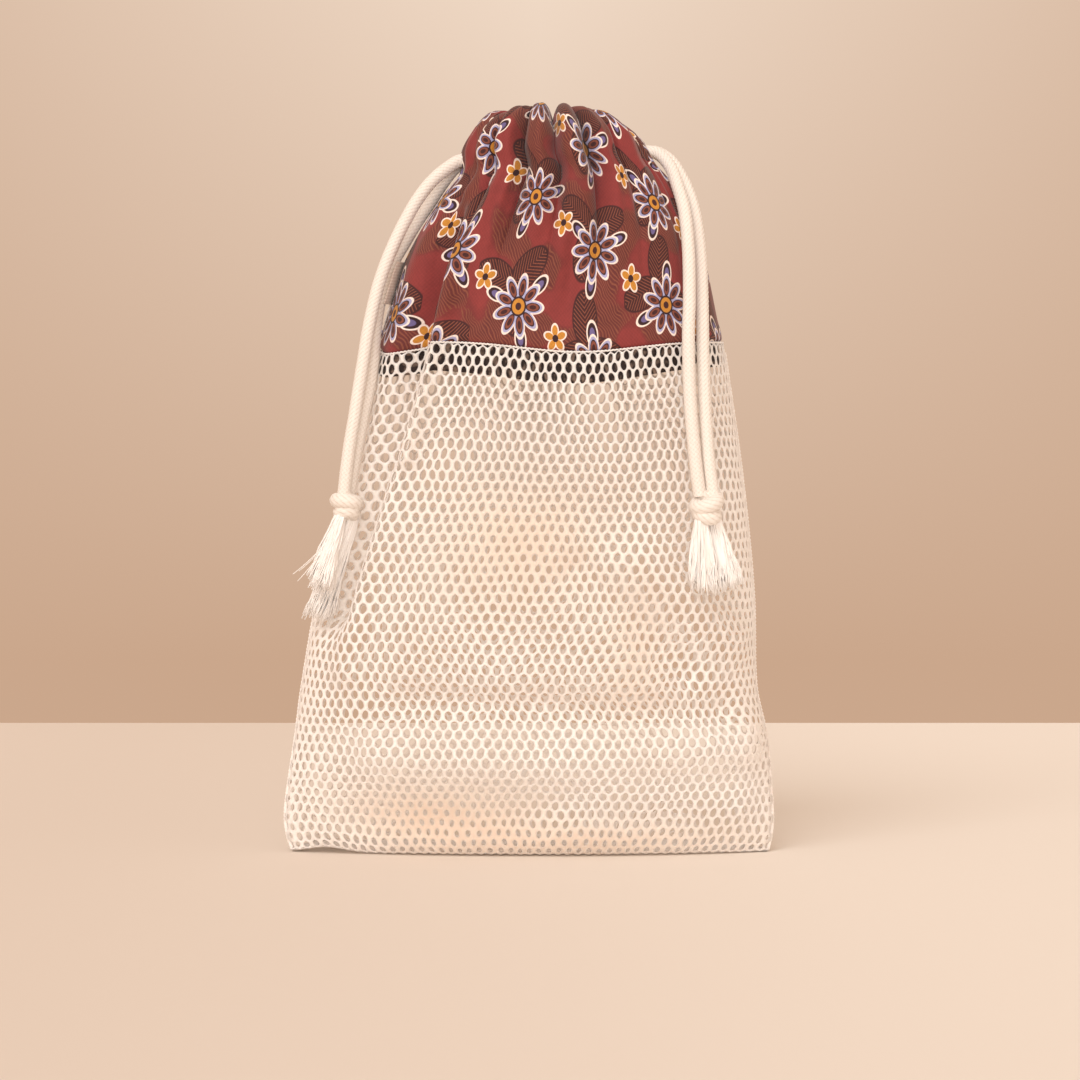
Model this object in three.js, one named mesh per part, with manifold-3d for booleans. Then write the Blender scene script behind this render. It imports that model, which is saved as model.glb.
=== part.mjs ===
// Drawstring produce bag: a cotton net sack with a printed cotton top, gathered shut on two drawcords.
// Millimetres, +Z up. The origin is the middle of the base, and the front of the bag faces -Y.
import * as THREE from 'three';
import { mergeVertices } from 'three/addons/utils/BufferGeometryUtils.js';
import loadManifold from 'manifold-3d';

const wasm = await loadManifold();
wasm.setup();

// Cloth and seams
const NET_WALL = 1.4;
const COTTON_WALL = 1.2;
const LABEL_WALL = 1.0;
const SEAT = 0.3; // gap between pieces that touch
const PANEL_WIDTH = 226; // flat width of a net panel between its side seams
const SEAM_HEIGHT = 219; // the net is sewn to the cotton here
const ALLOWANCE = 13; // cotton that hangs inside the net below that seam
const ALLOWANCE_INSET = 4.8; // how far inside the net's middle surface it hangs
const SEAM_STEP = 3; // height over which the cotton comes out from behind the net
const BASE_ROUND = 9; // radius between the underside and the walls
const BASE_FLAT = 0.72; // share of the underside that lies flat on the table

// Cords, knots and tassels
const CORD_DIAMETER = 5.4;
const CORD_SIDES = 8;
const CORD_STEP = 13;
const CASING_STEP = 9; // shorter steps where the hidden runs turn tightly
const KNOT_RING = 3.9; // radius of one wrap of a knot, at the middle of the cord
const KNOT_CORE = 4.6;
const KNOT_SIDES = 6;
const KNOT_STEPS = 10;
const KNOT_TIP = 8; // degrees that its two wraps lean, one each way
const TASSEL_HEAD = 2.5; // radius of the whipped head of a tassel
const TASSEL_HEAD_LENGTH = 6;
const TASSEL_LOCKS = 6;
const LOCK_TOP = 1.5;
const LOCK_TIP = 1.9;
const LOCK_SIDES = 4;

// Facets
const NET_COLUMNS = 28;
const NET_RINGS = 15; // rows of cells up the wall of the net
const OUTLINE_STEPS = 48;
const PLEAT_COLUMNS = [0, 0.2, 0.5, 0.8]; // ridge, flank, valley, flank

const WELD = 1e-4; // corners this close are one

const FRONT = -1;
const BACK = 1;

// Openings of the net: staggered bands of six-sided gaps, drawn coarser than the real mesh.
// A gap takes one row of cells, and each band of them is followed by a closed row.
const GAP_BANDS = 7;
const GAP_COLUMNS = 2;
const GAP_PERIOD = 4; // columns from one gap to the next
const GAP_WIDEN = 0.5; // columns by which the corners of a gap stand out past its cells
const GAP_POINT = 0.4; // rows by which its top and bottom are drawn to a point

// Level sections of the net: side seams, half depth, and how the ends close towards the side seams.
// seam is the side seams' y, lip keeps the two panels apart there, and an end is round where root is 0.5.
const NET_SECTIONS = [
  { z: 0, left: -103.6, right: 103.6, seam: -16, depth: 35, blunt: 2.2, root: 0.8, lip: 1.0 },
  { z: 20, left: -104, right: 104, seam: -13, depth: 39, blunt: 2.2, root: 0.68, lip: 1.0 },
  { z: 50, left: -100, right: 101.5, seam: -7, depth: 43, blunt: 2.3, root: 0.57, lip: 0.6 },
  { z: 70, left: -97.5, right: 97.5, seam: -4, depth: 44, blunt: 2.4, root: 0.52, lip: 0.4 },
  { z: 110, left: -90.5, right: 96.5, seam: 0, depth: 45, blunt: 2.4, root: 0.5, lip: 0.3 },
  { z: 160, left: -77.5, right: 91.5, seam: 0, depth: 45, blunt: 2.3, root: 0.5, lip: 0.3 },
  { z: SEAM_HEIGHT, left: -64, right: 83, seam: 0, depth: 43, blunt: 2.2, root: 0.5, lip: 0.3 },
];

// Sections of the cotton in the order that the cloth runs: up the wall to the stitch line of the casing,
// over the turned top and down inside it. pleat is the share of the pleats' height that shows there,
// lift the share of their rise, dip lowers both ends and tilt raises the left one over the right one.
const COTTON_SECTIONS = [
  { z: 222, mid: 9.2, half: 72.6, depth: 42.8, dip: 0, tilt: 0, pleat: 0, lift: 0 },
  { z: 253, mid: 11.3, half: 64.1, depth: 38.8, dip: 1, tilt: 0, pleat: 0.18, lift: 0 },
  { z: 267, mid: 13.3, half: 57.6, depth: 35.5, dip: 1, tilt: 1, pleat: 0.4, lift: 0 },
  { z: 280, mid: 14.7, half: 49.5, depth: 30.8, dip: 1, tilt: 1.5, pleat: 0.65, lift: 0 },
  { z: 290, mid: 15.3, half: 42.3, depth: 27, dip: 1, tilt: 1.2, pleat: 0.8, lift: 0.1 },
  { z: 298, mid: 13, half: 39, depth: 26, dip: 1, tilt: 3.1, pleat: 1, lift: 0.3 },
  { z: 307, mid: 12.5, half: 34, depth: 23.5, dip: 1, tilt: 2.5, pleat: 1, lift: 0.6 },
  { z: 313.5, mid: 11.5, half: 29, depth: 19, dip: 1.5, tilt: 2.5, pleat: 0.8, lift: 0.9 },
  { z: 316.5, mid: 11.2, half: 24.5, depth: 15, dip: 2, tilt: 2.5, pleat: 0.3, lift: 1 },
  { z: 313.5, mid: 11.5, half: 20, depth: 11.5, dip: 2, tilt: 2.5, pleat: -0.25, lift: 0.9 },
  { z: 305.5, mid: 12.2, half: 23.5, depth: 13, dip: 1.5, tilt: 2.5, pleat: -0.3, lift: 0.5 },
  { z: 293.5, mid: 13, half: 30.5, depth: 17, dip: 1, tilt: 2.5, pleat: -0.2, lift: 0.2 },
  { z: 286, mid: 15.3, half: 40.4, depth: 24.6, dip: 1, tilt: 2, pleat: 0.72, lift: 0.1 },
];
const STITCH_SECTION = 4;
const CASING_SECTION = 5;
const COTTON_BLUNT = 2.2;
const COTTON_ROOT = 0.5;

// Pleats of the gathered casing: at is the share of the way from the left side seam to the right one,
// ridge how far the pleat stands out, and rise how far its top stands above the casing's.
const PLEATS = [
  { side: FRONT, at: 0.1, ridge: 3, rise: -1 },
  { side: FRONT, at: 0.22, ridge: 6, rise: -3 },
  { side: FRONT, at: 0.33, ridge: 7.5, rise: -2 },
  { side: FRONT, at: 0.44, ridge: 7, rise: 0.5 },
  { side: FRONT, at: 0.57, ridge: 8, rise: 3 },
  { side: FRONT, at: 0.75, ridge: 5, rise: 1.5 },
  { side: FRONT, at: 0.89, ridge: 2.5, rise: 0 },
  { side: BACK, at: 0.89, ridge: 3, rise: 0 },
  { side: BACK, at: 0.75, ridge: 6.5, rise: 1 },
  { side: BACK, at: 0.6, ridge: 7.5, rise: 1.5 },
  { side: BACK, at: 0.45, ridge: 7, rise: 3 },
  { side: BACK, at: 0.3, ridge: 7, rise: 1 },
  { side: BACK, at: 0.12, ridge: 4, rise: 0 },
];

// Folds and dents of the bag: a soft ridge, out over 0, or valley, out under 0, along a straight line.
// The line runs between two points, each given as the way across the flat panel from its left and a height.
const FOLDS = [
  { side: FRONT, fromAcross: 50, fromZ: 275, toAcross: 34, toZ: 80, width: 8, out: 4 },
  { side: FRONT, fromAcross: 36, fromZ: 272, toAcross: 22, toZ: 105, width: 8, out: -8 },
  { side: FRONT, fromAcross: 62, fromZ: 66, toAcross: 196, toZ: 60, width: 8, out: -3.5 },
  { side: FRONT, fromAcross: 55, fromZ: 46, toAcross: 200, toZ: 42, width: 11, out: 3 },
  { side: FRONT, fromAcross: 92, fromZ: 152, toAcross: 140, toZ: 140, width: 20, out: -4 },
  { side: FRONT, fromAcross: 130, fromZ: 122, toAcross: 180, toZ: 78, width: 9, out: -2.5 },
  { side: FRONT, fromAcross: 158, fromZ: 126, toAcross: 202, toZ: 90, width: 9, out: 2 },
  { side: FRONT, fromAcross: 95, fromZ: 200, toAcross: 150, toZ: 196, width: 20, out: 2.5 },
  { side: BACK, fromAcross: 60, fromZ: 70, toAcross: 165, toZ: 76, width: 10, out: -3 },
  { side: BACK, fromAcross: 150, fromZ: 262, toAcross: 166, toZ: 120, width: 9, out: -5 },
  { side: BACK, fromAcross: 80, fromZ: 168, toAcross: 120, toZ: 160, width: 24, out: 1.3 },
];

// How far the seam between net and cotton sags: at a share of the way across the front, over a width.
const SAGS = [
  { at: 0.56, width: 0.18, drop: 4.5 },
  { at: 0.07, width: 0.07, drop: 3.5 },
];
const SAG_FROM = 130; // the sag grows from this height up to the seam
const SAG_TO = 265; // and has faded here

// The two drawcords' hidden runs in the casing: an oval, its ends drawn out through the casing's side.
const CASING_CORDS = [
  { name: 'casing_cord_left', towards: -1, mid: 13.3, half: 34.9, depth: 21.6, z: 295.9, tilt: 2.8 },
  { name: 'casing_cord_right', towards: 1, mid: 12.5, half: 30.5, depth: 19.2, z: 303.5, tilt: 2.5 },
];
const CASING_TURN = 35; // degrees from the exit at which a run leaves the oval
const CASING_POINTS = 21;
const CASING_LEAD = 4; // straight length inside the exit

// Free ends of the drawcords, from the casing to the knot
const CORD_ROUTES = {
  cord_left_front: [
    [-26.6, -2.9, 296.2], [-31.7, -3.6, 294.4], [-40.7, -5.5, 287.2], [-47.2, -7.5, 279],
    [-52.6, -9.5, 269.6], [-57, -11.5, 260.4], [-60.8, -13.5, 251.2], [-64, -15, 241.5],
    [-66.4, -16.5, 231.6], [-68.4, -18, 221.5], [-70.1, -19.4, 210.5], [-71.9, -20.8, 199],
    [-73.7, -22.3, 187], [-75.5, -23.7, 176], [-77, -24.9, 165], [-78.4, -25.6, 152.5],
  ],
  cord_left_back: [
    [-26.6, 2.9, 295.8], [-31.8, 3.2, 292.7], [-37.4, 3.6, 285.8], [-42.7, 3, 277.6],
    [-48.4, 1.4, 269], [-53.6, -1, 260], [-59, -2.8, 250.6], [-62.6, -4.6, 241],
    [-64.6, -6.8, 231], [-65.8, -9.2, 220.6], [-66.6, -11.8, 209.8], [-68.1, -14.2, 198.6],
    [-70.4, -16.2, 187], [-72.6, -17.6, 175.6], [-74.6, -18.6, 164.8], [-76.4, -19.4, 152.5],
  ],
  cord_right_front: [
    [48.9, -2.9, 299.3], [54.8, -3.2, 298.5], [60.1, -7.8, 292.6], [63, -14.2, 284],
    [65.4, -20, 274.8], [66.6, -24.8, 265], [67.2, -28.4, 254.6], [67.4, -31.2, 243.8],
    [67.3, -33.4, 232.6], [66.9, -35.2, 221.4], [67, -36.6, 209.6], [67.3, -37.6, 197.8],
    [68, -38.4, 186], [69, -39, 174.6], [70.2, -39.6, 163.4], [71.7, -40, 152.5],
  ],
  cord_right_back: [
    [48.9, 2.9, 299.3], [54.6, 2.7, 299.3], [60.5, 0.3, 295.6], [64.9, -4.6, 288.6],
    [68.6, -9.2, 279.8], [70.9, -13.8, 269.8], [72.1, -18, 259.4], [72.8, -21.8, 248.2],
    [73.1, -25, 236.6], [73.2, -27.8, 225], [73.3, -30.2, 213], [73.6, -32.4, 200.8],
    [74, -34.4, 188.6], [74.8, -36.2, 176.4], [75.8, -37.8, 164.4], [77.3, -39.2, 152.5],
  ],
};

// Knots that tie each pair of cord ends, at the middle of the knot
const KNOTS = [
  { name: 'knot_left', x: -77.2, y: -22.8, z: 147.7, cords: ['cord_left_front', 'cord_left_back'] },
  { name: 'knot_right', x: 74.5, y: -39.6, z: 147.7, cords: ['cord_right_front', 'cord_right_back'] },
];

// Frayed ends below the knots: where each starts, where it hangs to, and how far its locks spread
const TASSELS = [
  { name: 'tassel_left_outer', top: [-79.4, -25.4, 144.5], tip: [-90, -30, 115], spread: 4.8 },
  { name: 'tassel_left_inner', top: [-74.6, -20.6, 144.5], tip: [-92.5, -17.5, 101.5], spread: 3.6 },
  { name: 'tassel_right_inner', top: [71.8, -41, 144.5], tip: [74.4, -44.5, 114], spread: 4.2 },
  { name: 'tassel_right_outer', top: [77, -37.4, 144.5], tip: [86.5, -38.5, 116], spread: 3.8 },
];

// Tab sewn into the left side seam of the cotton and lying forward on it
const LABEL_LOW = 234;
const LABEL_HIGH = 252;
const LABEL_ACROSS = 9; // from the seam forward
const LABEL_ROWS = 4;
const LABEL_COLUMNS = 3;

const NET_COLOUR = '#f3e3cf';
const COTTON_COLOUR = '#8e3733';
const CORD_COLOUR = '#f7ecdc';
const LABEL_COLOUR = '#e4d5c8';

const { clamp, degToRad, lerp, smoothstep } = THREE.MathUtils;

// A column of the net's section table at a height, on a smooth curve through the rows
function netColumn(column, z) {
  const last = NET_SECTIONS.length - 1;
  const next = clamp(NET_SECTIONS.findIndex((section) => section.z >= z), 1, last);
  const slope = (from, to) => {
    const low = NET_SECTIONS[Math.max(from, 0)];
    const high = NET_SECTIONS[Math.min(to, last)];
    return (high[column] - low[column]) / (high.z - low.z);
  };
  const low = NET_SECTIONS[next - 1];
  const high = NET_SECTIONS[next];
  const height = high.z - low.z;
  const t = (z - low.z) / height;
  const value = (2 * t ** 3 - 3 * t ** 2 + 1) * low[column] + (3 * t ** 2 - 2 * t ** 3) * high[column];
  const leave = (t ** 3 - 2 * t ** 2 + t) * slope(next - 2, next);
  const arrive = (t ** 3 - t ** 2) * slope(next - 1, next + 1);
  return value + height * (leave + arrive);
}

function netSection(z) {
  const columns = ['left', 'right', 'seam', 'depth', 'blunt', 'root', 'lip'];
  return Object.fromEntries(columns.map((column) => [column, netColumn(column, z)]));
}

function cottonSection(row) {
  return {
    left: row.mid - row.half,
    right: row.mid + row.half,
    seam: 0,
    depth: row.depth,
    blunt: COTTON_BLUNT,
    root: COTTON_ROOT,
    lip: 0,
  };
}

// Fullness of a section at a place across it: 0 at the side seams, 1 in the middle
function fullness(section, across) {
  return Math.max(1 - Math.abs(across) ** section.blunt, 0) ** section.root;
}

// Half of a level section, as a curve from the left side seam to the right one
function outline(section, side) {
  const points = [];
  for (let k = 0; k <= OUTLINE_STEPS; k++) {
    const across = -Math.cos((Math.PI * k) / OUTLINE_STEPS);
    const x = lerp(section.left, section.right, (across + 1) / 2);
    const y = lerp(section.seam + side * section.lip, side * section.depth, fullness(section, across));
    points.push(new THREE.Vector2(x, y));
  }
  return new THREE.SplineCurve(points);
}

// How far the folds push the cloth out at a share of the way across a panel and a height
function foldOut(side, share, z) {
  const place = new THREE.Vector2(share * PANEL_WIDTH, z);
  let out = 0;
  for (const fold of FOLDS.filter((row) => row.side === side)) {
    const from = new THREE.Vector2(fold.fromAcross, fold.fromZ);
    const along = new THREE.Vector2(fold.toAcross, fold.toZ).sub(from);
    const t = clamp(place.clone().sub(from).dot(along) / along.lengthSq(), 0, 1);
    const away = place.distanceTo(from.addScaledVector(along, t));
    out += fold.out * Math.exp(-((away / fold.width) ** 2));
  }
  return out;
}

function sagAt(side, share, z) {
  if (side === BACK) return 0;
  const reach = smoothstep(z, SAG_FROM, SEAM_HEIGHT) * (1 - smoothstep(z, SEAM_HEIGHT, SAG_TO));
  const drops = SAGS.map((row) => row.drop * Math.exp(-(((share - row.at) / row.width) ** 2)));
  return reach * drops.reduce((sum, drop) => sum + drop);
}

// Share of the way round the bag, from the left side seam across the front and back along the back
function shareRound(side, share) {
  return side === FRONT ? share / 2 : 1 - share / 2;
}

// A column of the pleat table at a share of the way round: full at a ridge, nothing in the valleys
function pleatColumn(column, round) {
  const ridges = PLEATS.map((pleat) => ({ round: shareRound(pleat.side, pleat.at), value: pleat[column] }));
  const found = ridges.findIndex((ridge) => ridge.round > round);
  const next = found < 0 ? 0 : found;
  const before = ridges[(next + ridges.length - 1) % ridges.length];
  const after = ridges[next];
  const gap = (after.round - before.round + 1) % 1;
  const t = ((round - before.round + 1) % 1) / gap;
  const value = t < 0.5 ? before.value : after.value;
  return (value * (1 + Math.cos(2 * Math.PI * t))) / 2;
}

// A point of the cloth: on a section's outline, moved along its outward normal
function clothPoint(section, side, share, z, out) {
  section.curves ??= {};
  section.curves[side] ??= outline(section, side);
  const place = section.curves[side].getPointAt(share);
  const along = section.curves[side].getTangentAt(share);
  const x = place.x - side * along.y * out;
  const y = place.y + side * along.x * out;
  return new THREE.Vector3(x, y, z);
}

// A point of the net wall; the underside and the allowance use it with an inset
function netPoint(section, side, share, z, inset) {
  return clothPoint(section, side, share, z - sagAt(side, share, z), foldOut(side, share, z) - inset);
}

function cottonPoint(row, section, side, share, inset) {
  const round = shareRound(side, share);
  const out = foldOut(side, share, row.z) * (1 - row.pleat) + pleatColumn('ridge', round) * row.pleat - inset;
  const point = clothPoint(section, side, share, row.z, out);
  const across = (point.x - row.mid) / row.half;
  point.z -= sagAt(side, share, row.z) + row.dip * across ** 2 + row.tilt * across;
  point.z += pleatColumn('rise', round) * row.lift;
  return point;
}

// A sheet of cloth as a closed solid: rows of points on its middle surface, its wall on both sides of them.
// A ring closes on itself along its rows. isOpen tells which cells are left out as openings.
function sheetSolid(rows, wall, isRing = false, isOpen = () => false) {
  const height = rows.length;
  const width = rows[0].length;
  const cells = isRing ? width : width - 1;
  const column = (i) => (isRing ? (i + width) % width : clamp(i, 0, width - 1));
  const positions = [];
  for (let j = 0; j < height; j++) {
    for (let i = 0; i < width; i++) {
      const across = rows[j][column(i + 1)].clone().sub(rows[j][column(i - 1)]);
      const up = rows[Math.min(j + 1, height - 1)][i].clone().sub(rows[Math.max(j - 1, 0)][i]);
      const normal = across.cross(up).normalize();
      positions.push(...rows[j][i].clone().addScaledVector(normal, wall / 2).toArray());
      positions.push(...rows[j][i].clone().addScaledVector(normal, -wall / 2).toArray());
    }
  }
  const outer = (i, j) => 2 * (j * width + column(i));
  const inner = (i, j) => outer(i, j) + 1;
  const isInside = (i, j) => j >= 0 && j < height - 1 && (isRing || (i >= 0 && i < cells));
  const isCloth = (i, j) => isInside(i, j) && !isOpen(i, j);
  const index = [];
  const quad = (a, b, c, d) => index.push(a, b, c, a, c, d);
  const rim = (i, j, k, l) => quad(outer(k, l), outer(i, j), inner(i, j), inner(k, l));
  for (let j = 0; j < height - 1; j++) {
    for (let i = 0; i < cells; i++) {
      if (!isCloth(i, j)) continue;
      quad(outer(i, j), outer(i + 1, j), outer(i + 1, j + 1), outer(i, j + 1));
      quad(inner(i, j), inner(i, j + 1), inner(i + 1, j + 1), inner(i + 1, j));
      if (!isCloth(i, j - 1)) rim(i, j, i + 1, j);
      if (!isCloth(i, j + 1)) rim(i + 1, j + 1, i, j + 1);
      const before = isRing ? (i + cells - 1) % cells : i - 1;
      const after = isRing ? (i + 1) % cells : i + 1;
      if (!isCloth(before, j)) rim(i, j + 1, i, j);
      if (!isCloth(after, j)) rim(i + 1, j, i + 1, j + 1);
    }
  }
  const geometry = new THREE.BufferGeometry();
  geometry.setAttribute('position', new THREE.Float32BufferAttribute(positions, 3));
  geometry.setIndex(index);
  return geometry;
}

// The gap that a corner of the net's grid lies on: the corner's column in it, and whether it is at the top
function gapAt(column, ring) {
  const band = Math.floor((ring - 1) / 2);
  const first = band % 2 === 0 ? 1 : 1 + GAP_PERIOD / 2;
  const within = (column - first) % GAP_PERIOD;
  const hasRoom = column >= first && column - within + GAP_COLUMNS < NET_COLUMNS;
  const isOnGap = band >= 0 && band < GAP_BANDS && hasRoom && within <= GAP_COLUMNS;
  return isOnGap ? { within, isTop: ring % 2 === 0 } : null;
}

// How far a corner moves, in columns and rows, to give the gap beside it six sides
function gapShift(column, ring) {
  const gap = gapAt(column, ring);
  if (gap === null) return { columns: 0, rows: 0 };
  const fromMiddle = gap.within - GAP_COLUMNS / 2;
  if (fromMiddle !== 0) return { columns: Math.sign(fromMiddle) * GAP_WIDEN, rows: 0 };
  return { columns: 0, rows: gap.isTop ? GAP_POINT : -GAP_POINT };
}

// How far the rounded edge of the underside draws the wall in at a height
function baseInset(z) {
  return z < BASE_ROUND ? BASE_ROUND - Math.sqrt(BASE_ROUND ** 2 - (BASE_ROUND - z) ** 2) : 0;
}

// One net panel: from the seam under the base, forward or back along the underside and up the wall
function netPanel(side) {
  const columns = Array.from({ length: NET_COLUMNS + 1 }, (_, i) => i);
  const shareOf = (column) => (side === FRONT ? column / NET_COLUMNS : 1 - column / NET_COLUMNS);
  const wallPoint = (column, z) => {
    const section = netSection(z);
    const share = shareOf(column);
    const inset = baseInset(z) * fullness(section, 2 * share - 1);
    return netPoint(section, side, share, z, inset);
  };
  const baseHeight = NET_WALL / 2;
  const base = columns.map((column) => wallPoint(column, baseHeight));
  const baseSection = netSection(0);
  const underside = (part) => columns.map((column) => {
    const full = fullness(baseSection, 2 * shareOf(column) - 1);
    const middle = lerp(baseSection.seam, 0, full) + (side * SEAT) / 2;
    return new THREE.Vector3(base[column].x, lerp(middle, base[column].y, part), baseHeight);
  });
  const rows = [underside(0), underside(BASE_FLAT), base];
  rows.push(columns.map((column) => wallPoint(column, BASE_ROUND / 3)));
  const firstRing = rows.length;
  const ringStep = (SEAM_HEIGHT - SEAM_STEP - BASE_ROUND) / NET_RINGS;
  for (let ring = 0; ring <= NET_RINGS; ring++) {
    rows.push(columns.map((column) => {
      const shift = gapShift(column, ring);
      return wallPoint(column + shift.columns, BASE_ROUND + (ring + shift.rows) * ringStep);
    }));
  }
  const isGap = (i, j) => {
    const gap = gapAt(i, j - firstRing);
    return gap !== null && !gap.isTop && gap.within < GAP_COLUMNS;
  };
  return sheetSolid(rows, NET_WALL, false, isGap);
}

// Places round the cotton that its facets need: the ridge, flanks and valley of every pleat
function pleatPlaces() {
  const rounds = PLEATS.map((pleat) => shareRound(pleat.side, pleat.at));
  return rounds.flatMap((round, i) => {
    const gap = (rounds[(i + 1) % rounds.length] - round + 1) % 1;
    return PLEAT_COLUMNS.map((part) => (round + part * gap) % 1);
  });
}

// The printed cotton: its allowance inside the net, the wall, and the casing turned over and in at the top.
// The casing is left open at the left and right side seams, where the cords come out.
function cottonTop() {
  const places = pleatPlaces().map((round) => (
    round <= 0.5 ? { side: FRONT, share: round * 2 } : { side: BACK, share: 2 - round * 2 }
  ));
  const allowance = (z) => {
    const section = netSection(z);
    return places.map(({ side, share }) => netPoint(section, side, share, z, ALLOWANCE_INSET));
  };
  const rows = [allowance(SEAM_HEIGHT - ALLOWANCE), allowance(SEAM_HEIGHT - SEAM_STEP)];
  for (const row of COTTON_SECTIONS) {
    const section = cottonSection(row);
    rows.push(places.map(({ side, share }) => cottonPoint(row, section, side, share, 0)));
  }
  const firstSection = rows.length - COTTON_SECTIONS.length;
  const seamCells = (lastPleat) => [1, 2].map((flank) => lastPleat * PLEAT_COLUMNS.length + flank);
  const leftCells = seamCells(PLEATS.length - 1);
  const rightCells = seamCells(PLEATS.findLastIndex((pleat) => pleat.side === FRONT));
  const isSlit = (i, j) => (
    (j === firstSection + STITCH_SECTION && leftCells.includes(i))
    || (j === firstSection + CASING_SECTION && rightCells.includes(i))
  );
  return sheetSolid(rows, COTTON_WALL, true, isSlit);
}

// A round cord along a route
function cordAlong(points, step) {
  const route = new THREE.CatmullRomCurve3(points);
  const section = new THREE.Shape();
  for (let k = 0; k < CORD_SIDES; k++) {
    const turn = (2 * Math.PI * k) / CORD_SIDES;
    const corner = [(CORD_DIAMETER / 2) * Math.cos(turn), (CORD_DIAMETER / 2) * Math.sin(turn)];
    if (k === 0) section.moveTo(...corner);
    else section.lineTo(...corner);
  }
  const steps = Math.round(route.getLength() / step);
  return new THREE.ExtrudeGeometry(section, { steps, extrudePath: route });
}

// The hidden run of a drawcord: out of one side of the casing, round through it, and out beside itself
function casingCord(cord, exits) {
  const point = (degrees) => {
    const turn = degToRad(degrees);
    const across = cord.towards * Math.cos(turn);
    return new THREE.Vector3(
      cord.mid + cord.half * across,
      -cord.depth * Math.sin(turn),
      cord.z - cord.tilt * across,
    );
  };
  const points = [];
  for (let k = 0; k < CASING_POINTS; k++) {
    points.push(point(lerp(CASING_TURN, 360 - CASING_TURN, k / (CASING_POINTS - 1))));
  }
  const [front, back] = exits.map((route) => {
    const start = new THREE.Vector3(...route[0]);
    const inward = start.clone().sub(new THREE.Vector3(...route[1])).normalize();
    return [SEAT, CASING_LEAD].map((way) => start.clone().addScaledVector(inward, way));
  });
  return cordAlong([...front, ...points, ...back.reverse()], CASING_STEP);
}

// A closed mesh as a solid to be joined or cut
function solid(geometry) {
  const bare = geometry.clone();
  bare.deleteAttribute('normal');
  bare.deleteAttribute('uv');
  const welded = mergeVertices(bare, WELD);
  const vertProperties = Float32Array.from(welded.attributes.position.array);
  const triVerts = Uint32Array.from(welded.index.array);
  return new wasm.Manifold(new wasm.Mesh({ numProp: 3, vertProperties, triVerts }));
}

function geometryOf(manifold) {
  const mesh = manifold.getMesh();
  const geometry = new THREE.BufferGeometry();
  geometry.setAttribute('position', new THREE.Float32BufferAttribute(mesh.vertProperties, 3));
  geometry.setIndex(new THREE.Uint32BufferAttribute(mesh.triVerts, 1));
  return geometry;
}

// A round bar or cone from one point to another
function bar(from, to, fromRadius, toRadius, sides) {
  const along = to.clone().sub(from);
  const geometry = new THREE.CylinderGeometry(toRadius, fromRadius, along.length(), sides);
  const upright = new THREE.Vector3(0, 1, 0);
  const turn = new THREE.Quaternion().setFromUnitVectors(upright, along.clone().normalize());
  geometry.applyQuaternion(turn);
  return geometry.translate(...from.clone().addScaledVector(along, 0.5).toArray());
}

// Room for a round end that sits in a knot, with the gap that pieces keep
function socket(end, outward, radius) {
  const direction = outward.clone().normalize();
  const floor = end.clone().addScaledVector(direction, -SEAT);
  const mouth = end.clone().addScaledVector(direction, 4 * radius);
  return solid(bar(floor, mouth, radius + 2 * SEAT, radius + 2 * SEAT, CORD_SIDES));
}

// A knot: two wraps of cord one over the other, with sockets for the cord ends and tassels
function knot({ x, y, z, cords, name }) {
  const wrap = (rise, tip) => {
    const ring = new THREE.TorusGeometry(KNOT_RING, CORD_DIAMETER / 2, KNOT_SIDES, KNOT_STEPS);
    return solid(ring.rotateX(degToRad(tip)).translate(x, y, z + rise));
  };
  const core = new THREE.SphereGeometry(KNOT_CORE, KNOT_SIDES, KNOT_SIDES).translate(x, y, z);
  const rise = CORD_DIAMETER / 2 - SEAT;
  let body = solid(core).add(wrap(rise, KNOT_TIP)).add(wrap(-rise, -KNOT_TIP));
  for (const cord of cords) {
    const [before, end] = CORD_ROUTES[cord].slice(-2).map((point) => new THREE.Vector3(...point));
    body = body.subtract(socket(end, before.sub(end), CORD_DIAMETER / 2));
  }
  const side = name.split('_')[1];
  for (const tassel of TASSELS.filter((row) => row.name.includes(side))) {
    const top = new THREE.Vector3(...tassel.top);
    body = body.subtract(socket(top, new THREE.Vector3(...tassel.tip).sub(top), TASSEL_HEAD));
  }
  return geometryOf(body);
}

// A frayed cord end: locks of yarn spreading from a round head
function tassel({ top, tip, spread }) {
  const start = new THREE.Vector3(...top);
  const end = new THREE.Vector3(...tip);
  const down = end.clone().sub(start).normalize();
  const aside = new THREE.Vector3(1, 0, 0).cross(down).normalize();
  const neck = start.clone().addScaledVector(down, TASSEL_HEAD_LENGTH);
  let body = solid(bar(start, neck, TASSEL_HEAD, TASSEL_HEAD, CORD_SIDES));
  for (let k = 0; k < TASSEL_LOCKS; k++) {
    const out = aside.clone().applyAxisAngle(down, (2 * Math.PI * k) / TASSEL_LOCKS);
    const from = neck.clone().addScaledVector(down, -TASSEL_HEAD_LENGTH / 2);
    from.addScaledVector(out, LOCK_TOP / 2);
    const longer = k % 2 === 0 ? 0 : -LOCK_TIP;
    const to = end.clone().addScaledVector(down, longer).addScaledVector(out, spread);
    body = body.add(solid(bar(from, to, LOCK_TOP, LOCK_TIP, LOCK_SIDES)));
  }
  return geometryOf(body);
}

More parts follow.
